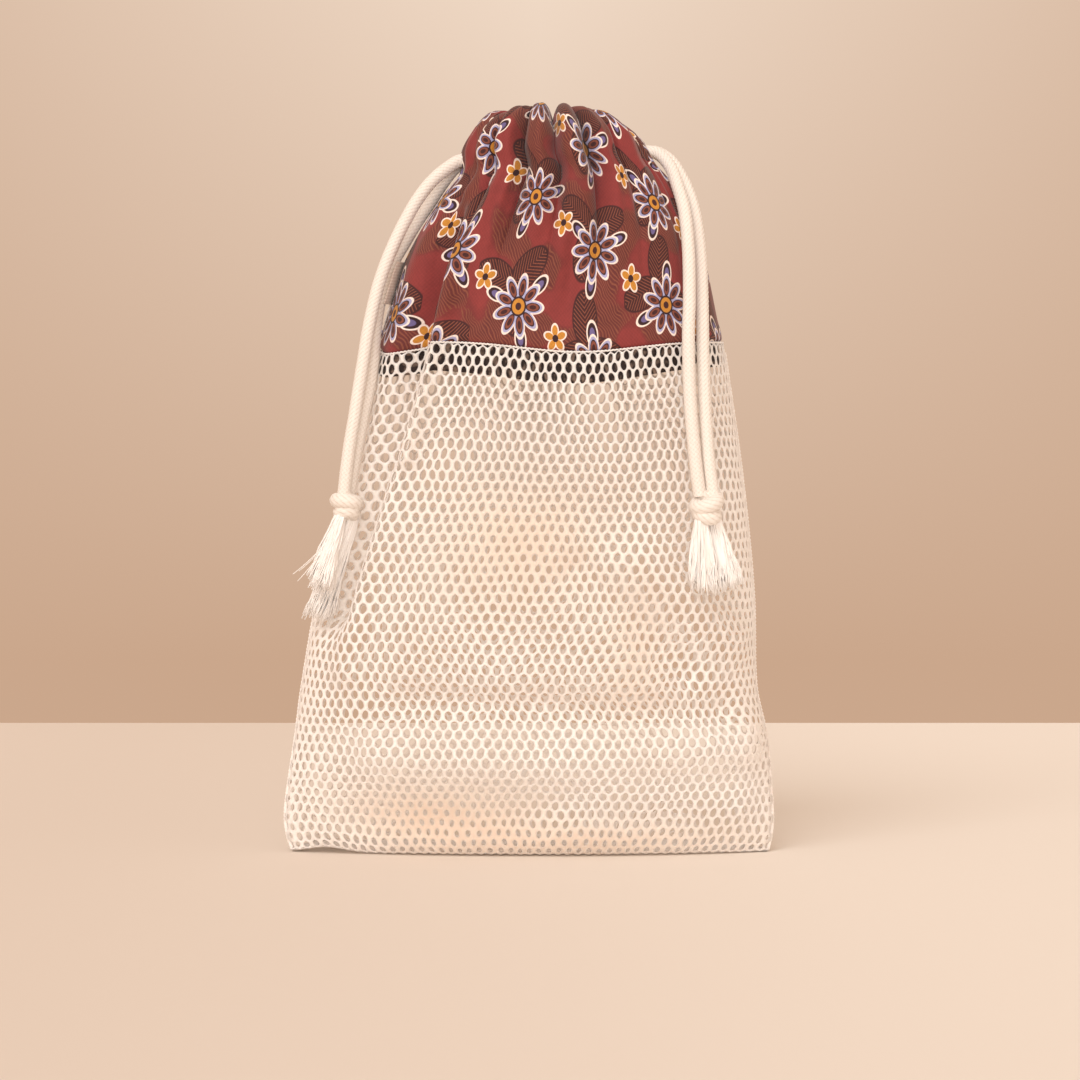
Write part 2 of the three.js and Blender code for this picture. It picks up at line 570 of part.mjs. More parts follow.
// The tab on the left side seam, lying on the cotton just in front of the seam
function sideLabel() {
  const inset = -(COTTON_WALL / 2 + 2 * SEAT + LABEL_WALL / 2);
  const rows = [];
  for (let j = 0; j <= LABEL_ROWS; j++) {
    const z = lerp(LABEL_LOW, LABEL_HIGH, j / LABEL_ROWS);
    const next = COTTON_SECTIONS.findIndex((section) => section.z >= z);
    const around = COTTON_SECTIONS.slice(next - 1, next + 1);
    const part = (z - around[0].z) / (around[1].z - around[0].z);
    const row = [];
    for (let i = 0; i <= LABEL_COLUMNS; i++) {
      const share = (LABEL_ACROSS * i) / (LABEL_COLUMNS * PANEL_WIDTH);
      const [below, above] = around.map((section) => (
        cottonPoint(section, cottonSection(section), FRONT, share, inset)
      ));
      row.push(below.lerp(above, part));
    }
    rows.push(row);
  }
  return sheetSolid(rows, LABEL_WALL);
}

const bag = new THREE.Group();

function addPiece(name, geometry, color) {
  geometry.computeVertexNormals();
  const material = new THREE.MeshStandardMaterial({ color, roughness: 0.9, metalness: 0 });
  const mesh = new THREE.Mesh(geometry, material);
  mesh.name = name;
  bag.add(mesh);
}

addPiece('net_front', netPanel(FRONT), NET_COLOUR);
addPiece('net_back', netPanel(BACK), NET_COLOUR);
addPiece('cotton_top', cottonTop(), COTTON_COLOUR);
addPiece('side_label', sideLabel(), LABEL_COLOUR);
for (const cord of CASING_CORDS) {
  const side = cord.towards < 0 ? 'left' : 'right';
  const exits = [CORD_ROUTES[`cord_${side}_front`], CORD_ROUTES[`cord_${side}_back`]];
  addPiece(cord.name, casingCord(cord, exits), CORD_COLOUR);
}
for (const [name, route] of Object.entries(CORD_ROUTES)) {
  addPiece(name, cordAlong(route.map((point) => new THREE.Vector3(...point)), CORD_STEP), CORD_COLOUR);
}
for (const row of KNOTS) addPiece(row.name, knot(row), CORD_COLOUR);
for (const row of TASSELS) addPiece(row.name, tassel(row), CORD_COLOUR);

export default bag;
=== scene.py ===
import math

import bpy
import numpy as np
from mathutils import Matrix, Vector


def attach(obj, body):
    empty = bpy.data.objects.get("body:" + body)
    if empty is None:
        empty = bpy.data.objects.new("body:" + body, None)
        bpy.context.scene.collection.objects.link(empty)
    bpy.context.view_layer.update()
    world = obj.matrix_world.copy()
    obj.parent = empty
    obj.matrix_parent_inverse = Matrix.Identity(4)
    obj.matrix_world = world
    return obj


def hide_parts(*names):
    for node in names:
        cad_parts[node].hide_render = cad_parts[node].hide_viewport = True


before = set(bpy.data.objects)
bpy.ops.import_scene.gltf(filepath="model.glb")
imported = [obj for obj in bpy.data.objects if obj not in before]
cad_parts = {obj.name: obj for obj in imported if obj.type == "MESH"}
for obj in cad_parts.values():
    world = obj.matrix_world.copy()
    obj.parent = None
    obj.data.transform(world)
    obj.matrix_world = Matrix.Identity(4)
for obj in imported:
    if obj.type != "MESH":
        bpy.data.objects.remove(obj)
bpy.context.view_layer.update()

# Net panels: the front and back of the sack, of cotton net knitted with oval openings.
# They are sewn together at the sides and under the base, and to the printed cotton at the top.
MM = 0.001
FRONT, BACK = -1, 1
PANEL_WIDTH = 226.0  # flat, between the side seams
NET_TOP = 217.5
BASE_ROUND = 9.0  # radius between the underside and the walls
MESH_PITCH = 4.5  # from one opening to the next in its row
ROW_PITCH = 4.25
OPENING = (2.75, 4.3)  # width and height of an opening
STRAND = 0.75  # thickness of the net's flat strands
BASE_LIFT = 0.75  # the net's middle surface over the table
TABLE_GAP = 0.05  # the net's lowest points over the table
UNDER_GAP = 0.4  # from each panel to the middle of the seam under the base
SECTION_POINTS = 241  # of half a level section
PANEL_POINTS = 227  # across a panel
UNDER_ROWS, ROUND_ROWS, WALL_ROWS = 8, 7, 150  # under the base, round its edge and up the wall

NET_COLUMNS = ("z", "left", "right", "seam", "depth", "blunt", "root", "lip")
NET_SECTIONS = dict(zip(NET_COLUMNS, np.array([
    (0, -101, 101.8, -16, 35, 2.2, 0.8, 1.0),
    (9, -103.8, 103.8, -14.6, 37, 2.2, 0.74, 1.0),
    (20, -104, 104, -13, 39, 2.2, 0.68, 1.0),
    (50, -100, 101.5, -7, 43, 2.3, 0.57, 0.6),
    (70, -97.5, 97.5, -4, 44, 2.4, 0.52, 0.4),
    (110, -90.5, 96.5, 0, 45, 2.4, 0.5, 0.3),
    (160, -77.5, 91.5, 0, 45, 2.3, 0.5, 0.3),
    (219, -64, 83, 0, 43, 2.2, 0.5, 0.3),
], float).T))

# Folds and dents: side, the places they run through as ways across the flat panel and heights,
# half width, and how far out or in
FOLDS = [
    (FRONT, [(56, 275), (51, 219), (34, 80)], 8, 4),
    (FRONT, [(43, 272), (37, 219), (22, 105)], 9, -12),
    (FRONT, [(62, 66), (196, 60)], 8, -5),
    (FRONT, [(50, 43), (120, 40), (205, 46)], 11, 5),
    (FRONT, [(38, 14), (115, 18)], 11, -4),
    (FRONT, [(150, 28), (205, 22)], 9, 3),
    (FRONT, [(92, 152), (140, 140)], 20, -4),
    (FRONT, [(130, 122), (180, 78)], 8, -4.5),
    (FRONT, [(158, 126), (202, 90)], 9, 3.5),
    (FRONT, [(95, 200), (150, 196)], 20, 2.5),
    (FRONT, [(28, 286), (47, 262), (48, 219), (40, 170)], 4.5, -6.5),
    (FRONT, [(36, 286), (56, 262), (56.5, 219), (48, 170)], 4.5, 4),
    (FRONT, [(126, 292), (122, 245)], 5, -4.5),
    (FRONT, [(113, 295), (110, 246)], 6, 2.5),
    (FRONT, [(78, 300), (86, 262)], 6, -4),
    (BACK, [(60, 70), (165, 76)], 10, -3),
    (BACK, [(150, 262), (166, 120)], 9, -5),
    (BACK, [(80, 168), (120, 160)], 24, 1.3),
]

# Where the front panel is drawn up, with openings partly closed and painted shade: way across and height,
# half width, half height, share closed. The side seams close openings too, but get no painted shade.
DRAWN_UP = [((70, 17), 42, 15, 0.32), ((140, 7), 70, 9, 0.3),
            ((104, 134), 42, 30, 0.3), ((155, 88), 14, 26, 0.2)]
SEAM_GATHER = [((216, 130), 14, 90, 0.34), ((8, 100), 13, 80, 0.3)]
DRAWN_MOST = 0.35  # share closed at which the painted shade of the drawn-up net is full

# Sag of the seam between net and cotton: share of the way across the front, half width, drop
SAGS = [(0.56, 0.18, 4.5), (0.08, 0.09, 5)]
SAG_FROM, SAG_AT, SAG_TO = 130.0, 219.0, 265.0

# The edge of the base arches off the table near its left corner: how far up, its place across the panel,
# its half width, and the height where it is lost
ARCH_LIFT, ARCH_AT, ARCH_REACH, ARCH_TOP = 2.2, 17.0, 12.0, 30.0


def through_rows(places, values, at):
    """Rows of values at other places, on a smooth curve through the rows."""
    last = len(places) - 1
    index = np.arange(last + 1)
    low, high = np.maximum(index - 1, 0), np.minimum(index + 1, last)
    column = (-1,) + (1,) * (values.ndim - 1)
    slope = (values[high] - values[low]) / (places[high] - places[low]).reshape(column)
    above = np.clip(np.searchsorted(places, at), 1, last)
    below = above - 1
    span = (places[above] - places[below]).reshape(column)
    t = ((at - places[below]) / (places[above] - places[below])).reshape(column)
    value = (2 * t**3 - 3 * t**2 + 1) * values[below] + (3 * t**2 - 2 * t**3) * values[above]
    leave = (t**3 - 2 * t**2 + t) * slope[below]
    arrive = (t**3 - t**2) * slope[above]
    return value + span * (leave + arrive)


def ways_along(line):
    """How far along a line each of its points is."""
    return np.concatenate([[0], np.cumsum(np.linalg.norm(np.diff(line, axis=0), axis=1))])


def fullness(across, blunt, root):
    """How far a section has swelled out from its side seams, at places across it from -1 to 1."""
    return np.maximum(1 - np.abs(across) ** blunt, 0) ** root


def half_section(section, side, shares):
    """Half of a level section from the left side seam to the right one, and its outward normals."""
    across = -np.cos(np.linspace(0, math.pi, SECTION_POINTS))
    edge = section["seam"] + side * section["lip"]
    x = section["left"] + (section["right"] - section["left"]) * (across + 1) / 2
    y = edge + (side * section["depth"] - edge) * fullness(across, section["blunt"], section["root"])
    length = ways_along(np.column_stack([x, y]))
    share = length / length[-1]
    slope_x, slope_y = np.gradient(x, length), np.gradient(y, length)
    tangent = np.array([np.interp(shares, share, slope_x), np.interp(shares, share, slope_y)])
    tangent /= np.linalg.norm(tangent, axis=0)
    points = np.array([np.interp(shares, share, x), np.interp(shares, share, y)])
    normals = np.array([-side * tangent[1], side * tangent[0]])
    return points.T, normals.T


def fold_out(side, shares, height):
    """How far the folds push the cloth out at a height, at shares of the way across a panel."""
    out = np.zeros(len(shares))
    places = np.stack([shares * PANEL_WIDTH, np.full(len(shares), height)], axis=1)
    for fold_side, line, width, push in FOLDS:
        if fold_side != side:
            continue
        away = np.full(len(shares), np.inf)
        for start, end in zip(line, line[1:]):
            along = np.subtract(end, start)
            t = np.clip((places - start) @ along / (along @ along), 0, 1)
            away = np.minimum(away, np.linalg.norm(places - start - t[:, None] * along, axis=1))
        out += push * np.exp(-((away / width) ** 2))
    return out


def smooth_step(value, start, end):
    """A smooth rise from 0 at the start to 1 at the end."""
    t = np.clip((value - start) / (end - start), 0, 1)
    return t * t * (3 - 2 * t)


def sag_at(side, shares, height):
    """How far the cloth hangs down at a height, at shares of the way across a panel."""
    if side == BACK:
        return np.zeros(len(shares))
    reach = smooth_step(height, SAG_FROM, SAG_AT) * (1 - smooth_step(height, SAG_AT, SAG_TO))
    return reach * sum(drop * np.exp(-(((shares - at) / width) ** 2)) for at, width, drop in SAGS)


def net_row(side, shares, height, inset):
    """A level row of the net's middle surface."""
    columns = NET_COLUMNS[1:]
    values = np.array([NET_SECTIONS[name] for name in columns]).T
    section = dict(zip(columns, through_rows(NET_SECTIONS["z"], values, np.array([height]))[0]))
    full = fullness(2 * shares - 1, section["blunt"], section["root"])
    points, normals = half_section(section, side, shares)
    points = points + normals * (fold_out(side, shares, height) - inset * full)[:, None]
    arch = ARCH_LIFT * np.exp(-(((shares * PANEL_WIDTH - ARCH_AT) / ARCH_REACH) ** 2))
    arch *= 1 - smooth_step(height, 0, ARCH_TOP)
    return np.column_stack([points, height - sag_at(side, shares, height) + arch])


def net_grid(side):
    """Points of a panel's middle surface: rows from the seam under the base up to its top edge."""
    shares = np.linspace(0, 1, PANEL_POINTS)
    rows = []
    for turn in np.linspace(math.asin(1 - BASE_LIFT / BASE_ROUND), 0, ROUND_ROWS):
        height, inset = BASE_ROUND * (1 - math.sin(turn)), BASE_ROUND * (1 - math.cos(turn))
        rows.append(net_row(side, shares, height, inset))
    rows += [net_row(side, shares, height, 0) for height in np.linspace(BASE_ROUND, NET_TOP, WALL_ROWS)[1:]]
    edge = rows[0]
    full = fullness(2 * shares - 1, NET_SECTIONS["blunt"][0], NET_SECTIONS["root"][0])
    middle = NET_SECTIONS["seam"][0] * (1 - full) + side * UNDER_GAP
    under = []
    for part in np.linspace(0, 1, UNDER_ROWS, endpoint=False):
        under.append(np.column_stack([edge[:, 0], middle + (edge[:, 1] - middle) * part, edge[:, 2]]))
    return np.array(under + rows)


def grid_normals(grid):
    """Unit normals of a grid of points."""
    normals = np.cross(np.gradient(grid, axis=1), np.gradient(grid, axis=0))
    return normals / np.maximum(np.linalg.norm(normals, axis=2, keepdims=True), 1e-9)


def on_grid(grid, rows, columns):
    """Values of a grid at fractional rows and columns."""
    rows = np.clip(rows, 0, grid.shape[0] - 1.001)
    columns = np.clip(columns, 0, grid.shape[1] - 1.001)
    j, i = rows.astype(int), columns.astype(int)
    down, right = (rows - j)[:, None], (columns - i)[:, None]
    upper = grid[j, i] * (1 - right) + grid[j, i + 1] * right
    lower = grid[j + 1, i] * (1 - right) + grid[j + 1, i + 1] * right
    return upper * (1 - down) + lower * down


def add_piece(name, points, faces, material, smooth=True):
    """A mesh object from points in mm and the corners of its faces, with its material."""
    mesh = bpy.data.meshes.new(name)
    mesh.from_pydata((np.asarray(points) * MM).tolist(), [], faces)
    mesh.polygons.foreach_set("use_smooth", [smooth] * len(mesh.polygons))
    mesh.materials.append(material)
    mesh.update()
    piece = bpy.data.objects.new(name, mesh)
    bpy.context.scene.collection.objects.link(piece)
    return piece


def linear(colour):
    """An sRGB hex colour as linear red, green, blue and alpha."""
    parts = [int(colour[i:i + 2], 16) / 255 for i in (1, 3, 5)]
    return [p / 12.92 if p <= 0.04045 else ((p + 0.055) / 1.055) ** 2.4 for p in parts] + [1.0]


def add_node(tree, kind, inputs, output=0, **settings):
    """Adds a node with its settings, sets or links its inputs, and gives one of its outputs."""
    node = tree.nodes.new(kind)
    for name, value in settings.items():
        setattr(node, name, value)
    for socket, source in inputs.items():
        if isinstance(source, bpy.types.NodeSocket):
            tree.links.new(source, node.inputs[socket])
        else:
            node.inputs[socket].default_value = source
    return node.outputs[output]


def new_material(name):
    """A bare material, its node tree and its shader."""
    material = bpy.data.materials.new(name)
    material.use_nodes = True
    return material, material.node_tree, material.node_tree.nodes["Principled BSDF"]


# Combed cotton yarn, unbleached and knitted loose: a matt cream that lets some light through, with soft
# fibres that catch it. Where the net is drawn up it is painted darker and warmer, as painted shade.
YARN_TWIST = 0.9  # mm, coarser than the real twist so that it shows
YARN_SHADE = 40.0  # mm, from lighter to darker stretches of yarn
LIGHT_DEPTH = 1.3  # mm that light goes into the yarn
net_cotton, tree, shader = new_material("unbleached_cotton_net")
place = add_node(tree, "ShaderNodeTexCoord", {}, output=3)
fibre = add_node(tree, "ShaderNodeTexNoise", {"Vector": place, "Scale": 1 / (YARN_TWIST * MM), "Detail": 3.0})
shade = add_node(tree, "ShaderNodeTexNoise", {"Vector": place, "Scale": 1 / (YARN_SHADE * MM), "Detail": 2.0})
mixed = add_node(tree, "ShaderNodeMath", {0: fibre, 1: shade}, operation="ADD")
spread = add_node(tree, "ShaderNodeMapRange", {"Value": mixed, "From Min": 0.7, "From Max": 1.3})
yarn = add_node(tree, "ShaderNodeMix", {0: spread, 6: linear("#E9DFD7"), 7: linear("#F6F0EA")},
                output=2, data_type="RGBA")
# Painted shade: the yarn turns darker and warmer where the net is drawn up
drawn_up_shade = add_node(tree, "ShaderNodeAttribute", {}, output=2, attribute_name="drawn_up_shade")
colour = add_node(tree, "ShaderNodeMix", {0: drawn_up_shade, 6: yarn, 7: linear("#E0CDBD")},
                  output=2, data_type="RGBA")
tree.links.new(colour, shader.inputs["Base Color"])
shader.inputs["Roughness"].default_value = 0.88
shader.inputs["Subsurface Weight"].default_value = 1.0
shader.inputs["Subsurface Radius"].default_value = (1.0, 1.0, 1.0)
shader.inputs["Subsurface Scale"].default_value = LIGHT_DEPTH * MM
shader.inputs["Sheen Weight"].default_value = 0.25
shader.inputs["Sheen Roughness"].default_value = 0.5
bump = add_node(tree, "ShaderNodeBump", {"Strength": 0.35, "Distance": 0.25 * MM, "Height": fibre})
tree.links.new(bump, shader.inputs["Normal"])

# Each opening is an oval in a six-sided cell. Its edge lies in the net's middle surface, and the strands
# rise from it to a ridge on both faces, highest where three strands meet.
CELL = np.array([(0, 4), (1, 3), (2, 2), (2, 0), (2, -2), (1, -3),
                 (0, -4), (-1, -3), (-2, -2), (-2, 0), (-2, 2), (-1, 3)])
UNITS = (4, 6)  # the cell's points are in quarters of a column and sixths of a row
MEETING = np.array([True, False] * 6)  # the points of the cell where three strands meet
MEETING_RISE = 1.2
SIDE_CLOSED, SIDE_REACH = 0.4, (0.4, 1.6)  # share closed at the side seams, and how far from them in openings
TOP_CLOSED = 0.08  # share closed in the row under the cotton

# The knit is uneven. Waves shift the openings across and up: share of an opening, and the wave's turn
# for each column and each row
SWAY = [(0.09, 0.71, 0.53), (0.07, -1.1, 1.9)]
LIFT = [(0.08, 0.83, -0.47), (0.05, 2.3, 0.9)]


def knit_shift(waves, across, up, side):
    """How far waves shift the openings, at columns and rows. The second wave differs between the panels."""
    return sum(share * np.sin(per_column * across + per_row * up + number * side)
               for number, (share, per_column, per_row) in enumerate(waves))


def net_cells(rows, columns):
    """Middles of the cells, the points of their borders, and each cell's own points among those."""
    centres = []
    for row in range(rows):
        odd = row % 2
        centres += [(2 + 2 * odd + UNITS[0] * column, 4 + UNITS[1] * row) for column in range(columns - odd)]
    centres = np.array(centres)
    border = (centres[:, None, :] + CELL).reshape(-1, 2)
    keys, cell_points = np.unique(border, axis=0, return_inverse=True)
    return centres, keys, cell_points.reshape(-1, len(CELL))


def net_faces(cell_points, hole_points, count):
    """Faces of both sides of the net round its openings, and of the panel's outer rim."""
    following = np.roll(np.arange(len(CELL)), -1)
    next_cell, next_hole = cell_points[:, following], hole_points[:, following]
    outer = np.stack([cell_points, next_cell, next_hole, hole_points], axis=2)
    inner = np.stack([cell_points + count, hole_points, next_hole, next_cell + count], axis=2)
    spans = np.stack([cell_points, next_cell], axis=2).reshape(-1, 2)
    _, first, uses = np.unique(np.sort(spans, axis=1), axis=0, return_index=True, return_counts=True)
    rim = spans[first[uses == 1]]
    rims = np.column_stack([rim[:, 1], rim[:, 0], rim[:, 0] + count, rim[:, 1] + count])
    return np.concatenate([outer.reshape(-1, 4), inner.reshape(-1, 4), rims])


def net_panel(name, side):
    """One panel of net with its openings cut through."""
    grid = net_grid(side)
    normals = grid_normals(grid) * -side
    middle_column = grid[:, grid.shape[1] // 2]
    ways = ways_along(middle_column)
    columns = round(PANEL_WIDTH / MESH_PITCH)
    rows = round(ways[-1] / ROW_PITCH)
    rows_up = rows + 1 / 3  # with the upper points of the last row's cells
    centres, keys, cell_points = net_cells(rows, columns)

    def drawn_up(units, places):
        """Share that the openings are closed by where the panel is drawn up, at points in cell units."""
        across, way = units[:, 0] / UNITS[0] * MESH_PITCH, units[:, 1] / UNITS[1] / rows_up * ways[-1]
        heights = np.interp(way, ways, middle_column[:, 2])
        closed = np.zeros(len(units))
        for (middle, height), half_width, half_height, share in places if side == FRONT else []:
            apart = np.hypot((across - middle) / half_width, (heights - height) / half_height)
            closed += share * np.exp(-apart**2)
        return closed

    def place_on_cloth(units, height):
        """Points of the panel at points in cell units, and at heights over its middle surface."""
        across, up = units[:, 0] / UNITS[0], units[:, 1] / UNITS[1]
        inner = np.clip(np.minimum(across, columns - across), 0, 1)
        column = (across + knit_shift(SWAY, across, up, side) * inner) / columns * (grid.shape[1] - 1)
        way = np.clip((up + knit_shift(LIFT, across, up, side)) / rows_up, 0, 1) * ways[-1]
        row = np.interp(way, ways, np.arange(len(ways)))
        return on_grid(grid, row, column) + on_grid(normals, row, column) * height[:, None]

    turn = 2 * math.pi * np.arange(len(CELL)) / len(CELL)
    size = np.array(OPENING) / 2 / (MESH_PITCH, ROW_PITCH) * UNITS
    ring = np.column_stack([np.sin(turn), np.cos(turn)]) * size
    from_side = np.minimum(centres[:, 0], UNITS[0] * columns - centres[:, 0]) / UNITS[0]
    from_top = (UNITS[1] * rows_up - centres[:, 1]) / UNITS[1]
    tight = 1 - SIDE_CLOSED * (1 - smooth_step(from_side, *SIDE_REACH)) - TOP_CLOSED * (from_top < 1)
    tight -= drawn_up(centres, DRAWN_UP + SEAM_GATHER)
    holes = (centres[:, None, :] + ring * tight[:, None, None]).reshape(-1, 2)

    rise = np.full(len(keys), STRAND / 2)
    rise[np.unique(cell_points[:, MEETING])] *= MEETING_RISE
    points = np.concatenate([place_on_cloth(keys, rise), place_on_cloth(keys, -rise),
                             place_on_cloth(holes, np.zeros(len(holes)))])
    points[:, 2] = np.maximum(points[:, 2], TABLE_GAP)
    first_hole = 2 * len(keys)
    hole_points = first_hole + np.arange(len(holes)).reshape(-1, len(CELL))
    faces = net_faces(cell_points, hole_points, len(keys))
    if side == FRONT:
        faces = faces[:, ::-1]
    piece = add_piece(f"knitted_{name}", points, faces.tolist(), net_cotton)
    ends = np.empty(2 * len(piece.data.edges), int)
    piece.data.edges.foreach_get("vertices", ends)
    sharp = piece.data.attributes.new("sharp_edge", "BOOLEAN", "EDGE")
    sharp.data.foreach_set("value", (ends.reshape(-1, 2) >= first_hole).all(axis=1))
    # Painted shade for the material, strongest where the net is drawn up most
    on_keys = drawn_up(keys, DRAWN_UP)
    drawn_up_shade = np.concatenate([on_keys, on_keys, drawn_up(holes, DRAWN_UP)]) / DRAWN_MOST
    tone = piece.data.attributes.new("drawn_up_shade", "FLOAT", "POINT")
    tone.data.foreach_set("value", drawn_up_shade.astype(np.float32))
    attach(piece, "root")
    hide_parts(name)
    return grid


net_grids = {side: net_panel(name, side) for name, side in (("net_front", FRONT), ("net_back", BACK))}

# Seams of the net: the cut edges are overlocked into a soft cord of cotton thread along both sides,
# under the base, and round the top where the printed cotton is sewn on.
SIDE_THICKNESS, BASE_THICKNESS, TOP_THICKNESS = 1.9, 1.2, 0.8
SIDE_EVERY, BASE_EVERY, TOP_EVERY = 4, 6, 3  # a seam goes through every so many points of the panels
SEAM_STEP, SEAM_SIDES = 0.5, 8
SEAM_GAP = 0.03  # a seam's lowest points over the table
OVERLOCK_STEP, OVERLOCK_RELIEF = 1.6, 0.16  # the thread's loops along a seam, and how far they stand out
FINE_STEPS = 8  # a smooth line is measured at so many steps to each of its points


def smooth_line(points, step):
    """A smooth line through points, at even steps."""
    points = np.asarray(points, float)
    ways = ways_along(points)
    fine = through_rows(ways, points, np.linspace(0, ways[-1], FINE_STEPS * len(points)))
    lengths = ways_along(fine)
    at = np.linspace(0, lengths[-1], max(round(lengths[-1] / step), 2) + 1)
    return np.column_stack([np.interp(at, lengths, fine[:, k]) for k in range(3)])


def tube(line, radius, sides, relief=None):
    """Points and faces of a closed tube along a line. relief adds to its radius at a way along and a turn."""
    tangents = np.gradient(line, axis=0)
    tangents /= np.linalg.norm(tangents, axis=1, keepdims=True)
    helper = np.eye(3)[np.argmin(np.abs(tangents[0]))]
    normal = np.cross(tangents[0], helper)
    normals = []
    for tangent in tangents:
        normal = normal - tangent * (normal @ tangent)
        normal = normal / np.linalg.norm(normal)
        normals.append(normal)
    normals = np.array(normals)
    sideways = np.cross(tangents, normals)
    turn = 2 * math.pi * np.arange(sides) / sides
    reach = np.broadcast_to(np.asarray(radius, float).reshape(-1, 1), (len(line), sides)).copy()
    if relief is not None:
        reach += relief(ways_along(line)[:, None], turn[None, :])
    rings = (line[:, None, :]
             + normals[:, None, :] * (np.cos(turn)[None, :] * reach)[:, :, None]
             + sideways[:, None, :] * (np.sin(turn)[None, :] * reach)[:, :, None])
    points = np.concatenate([rings.reshape(-1, 3), line[:1], line[-1:]])
    j, i = np.meshgrid(np.arange(len(line) - 1), np.arange(sides), indexing="ij")
    after = (i + 1) % sides
    walls = np.stack([j * sides + i, j * sides + after, (j + 1) * sides + after, (j + 1) * sides + i], axis=2)
    start, end = len(points) - 2, len(points) - 1
    last = (len(line) - 1) * sides
    caps = [(start, (n + 1) % sides, n) for n in range(sides)]
    caps += [(end, last + n, last + (n + 1) % sides) for n in range(sides)]
    return points, walls.reshape(-1, 4).tolist() + caps


def joined(tubes):
    """Several meshes as one."""
    points, faces, count = [], [], 0
    for tube_points, tube_faces in tubes:
        points.append(tube_points)
        faces += [[index + count for index in face] for face in tube_faces]
        count += len(tube_points)
    return np.concatenate(points), faces


def overlock(way, turn):
    """Loops of the overlocking thread round a seam."""
    return OVERLOCK_RELIEF * np.sin(2 * math.pi * way / OVERLOCK_STEP + turn)


def add_seam(name, line, thickness):
    """A seam of overlocked cotton thread along a line."""
    points, faces = tube(smooth_line(line, SEAM_STEP), thickness / 2, SEAM_SIDES, overlock)
    points[:, 2] = np.maximum(points[:, 2], SEAM_GAP)
    piece = add_piece(name, points, faces, net_cotton)
    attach(piece, "root")


for name, column in (("side_seam_left", 0), ("side_seam_right", -1)):
    line = (net_grids[FRONT][UNDER_ROWS:, column] + net_grids[BACK][UNDER_ROWS:, column]) / 2
    add_seam(name, line[::SIDE_EVERY], SIDE_THICKNESS)
add_seam("base_seam", (net_grids[FRONT][0] + net_grids[BACK][0])[::BASE_EVERY] / 2, BASE_THICKNESS)
for name, side in (("top_edge_front", FRONT), ("top_edge_back", BACK)):
    add_seam(name, net_grids[side][-1][::TOP_EVERY], TOP_THICKNESS)

# Cotton top: one band of plain-woven printed cotton, sewn to the net with its allowance hanging inside.
# Its upper edge is turned over and stitched down as a casing, which the drawcords gather into pleats.
COTTON_THICKNESS = 0.5
ALLOWANCE_LOW, ALLOWANCE_HIGH, ALLOWANCE_INSET = 204.0, 216.0, 2.4
ALLOWANCE_SHORTER = 3.5  # its cut edge rises towards the side seams
COTTON_BLUNT, COTTON_ROOT = 2.2, 0.5
COTTON_KEYS = ("z", "mid", "half", "depth", "dip", "tilt", "pleat", "lift", "gather")
COTTON_SECTIONS = [dict(zip(COTTON_KEYS, row)) for row in [
    (219.5, 9.4, 73.2, 43.0, 0, 0, 0, 0, 0),
    (228, 9.6, 71, 42.3, 0.2, 0, 0.02, 0, 0.1),
    (240, 10.4, 67.8, 41, 0.5, 0, 0.07, 0, 0.2),
    (253, 11.3, 64.1, 38.8, 1, 0, 0.25, 0, 0.35),
    (267, 13.3, 57.6, 35.5, 1, 1, 0.52, 0, 0.8),
    (280, 14.7, 49.5, 30.8, 1, 1.5, 0.78, 0, 1.4),
    (290, 15.3, 42.3, 27, 1, 1.2, 0.9, 0.1, 1.8),
    (298, 13, 39, 26, 1, 3.1, 1, 0.3, 1.6),
    (307, 12.5, 34, 23.5, 1, 2.5, 1, 0.6, 1.6),
    (313.5, 11.5, 29, 19, 1.5, 2.5, 0.8, 0.9, 1.4),
    (316.5, 11.2, 24.5, 15, 2, 2.5, 0.3, 1, 1.2),
    (313.5, 11.5, 20, 11.5, 2, 2.5, -0.25, 0.9, 1.4),
    (305.5, 12.2, 23.5, 13, 1.5, 2.5, -0.3, 0.5, 1.8),
    (293.5, 13, 30.5, 17, 1, 2.5, -0.2, 0.2, 1.8),
    (286, 15.3, 40.4, 24.6, 1, 2, 0.72, 0.1, 1.8),
]]
TURN_SECTION = 10  # the section where the cloth turns over

# Pleats of the casing: share of the way from the left side seam, how far out it stands, how far it rises,
# and how far out and up the valley after it is, on the way round the bag
PLEATS = {
    FRONT: [(0.1, 3, -1, 0, -1.5), (0.2, 7, -2.5, 0, -2), (0.295, 12, 0, -1.5, 0),
            (0.42, 11.5, 1.5, -1.5, -6.5), (0.545, 14, 2, -1.2, 1), (0.66, 10.5, 2, 4, 1.5),
            (0.78, 8, 2.2, 2, 0), (0.89, 3, 0, 0, 0)],
    BACK: [(0.89, 3, 0, 0, -1), (0.75, 6.5, -1, -2, -3), (0.6, 7.5, -2.5, -3, -6),
           (0.45, 7, -3, -3, -6), (0.3, 7, -2, -2, -3), (0.12, 4, -1, 0, -1)],
}
PLEAT_ROUNDNESS = 0.7  # under 1 makes round pleats and narrow valleys
GATHERS = 42  # small gathers between the pleats, round the bag
FRONT_GATHER, BACK_GATHER, INNER_GATHER = 0.3, 1.2, 1.3  # how deep they are outside and inside the casing
GATHER_DRIFT = [(0.011, 5, 0), (0.006, 11, 1)]  # share of the way round that they drift, waves, and start
GATHER_MEAN, GATHER_SPREAD, GATHER_WAVES, GATHER_START = 0.75, 0.25, 7, 0.5  # the same for their depth
COTTON_COLUMNS = 504  # round the bag
ROWS_BETWEEN = 6


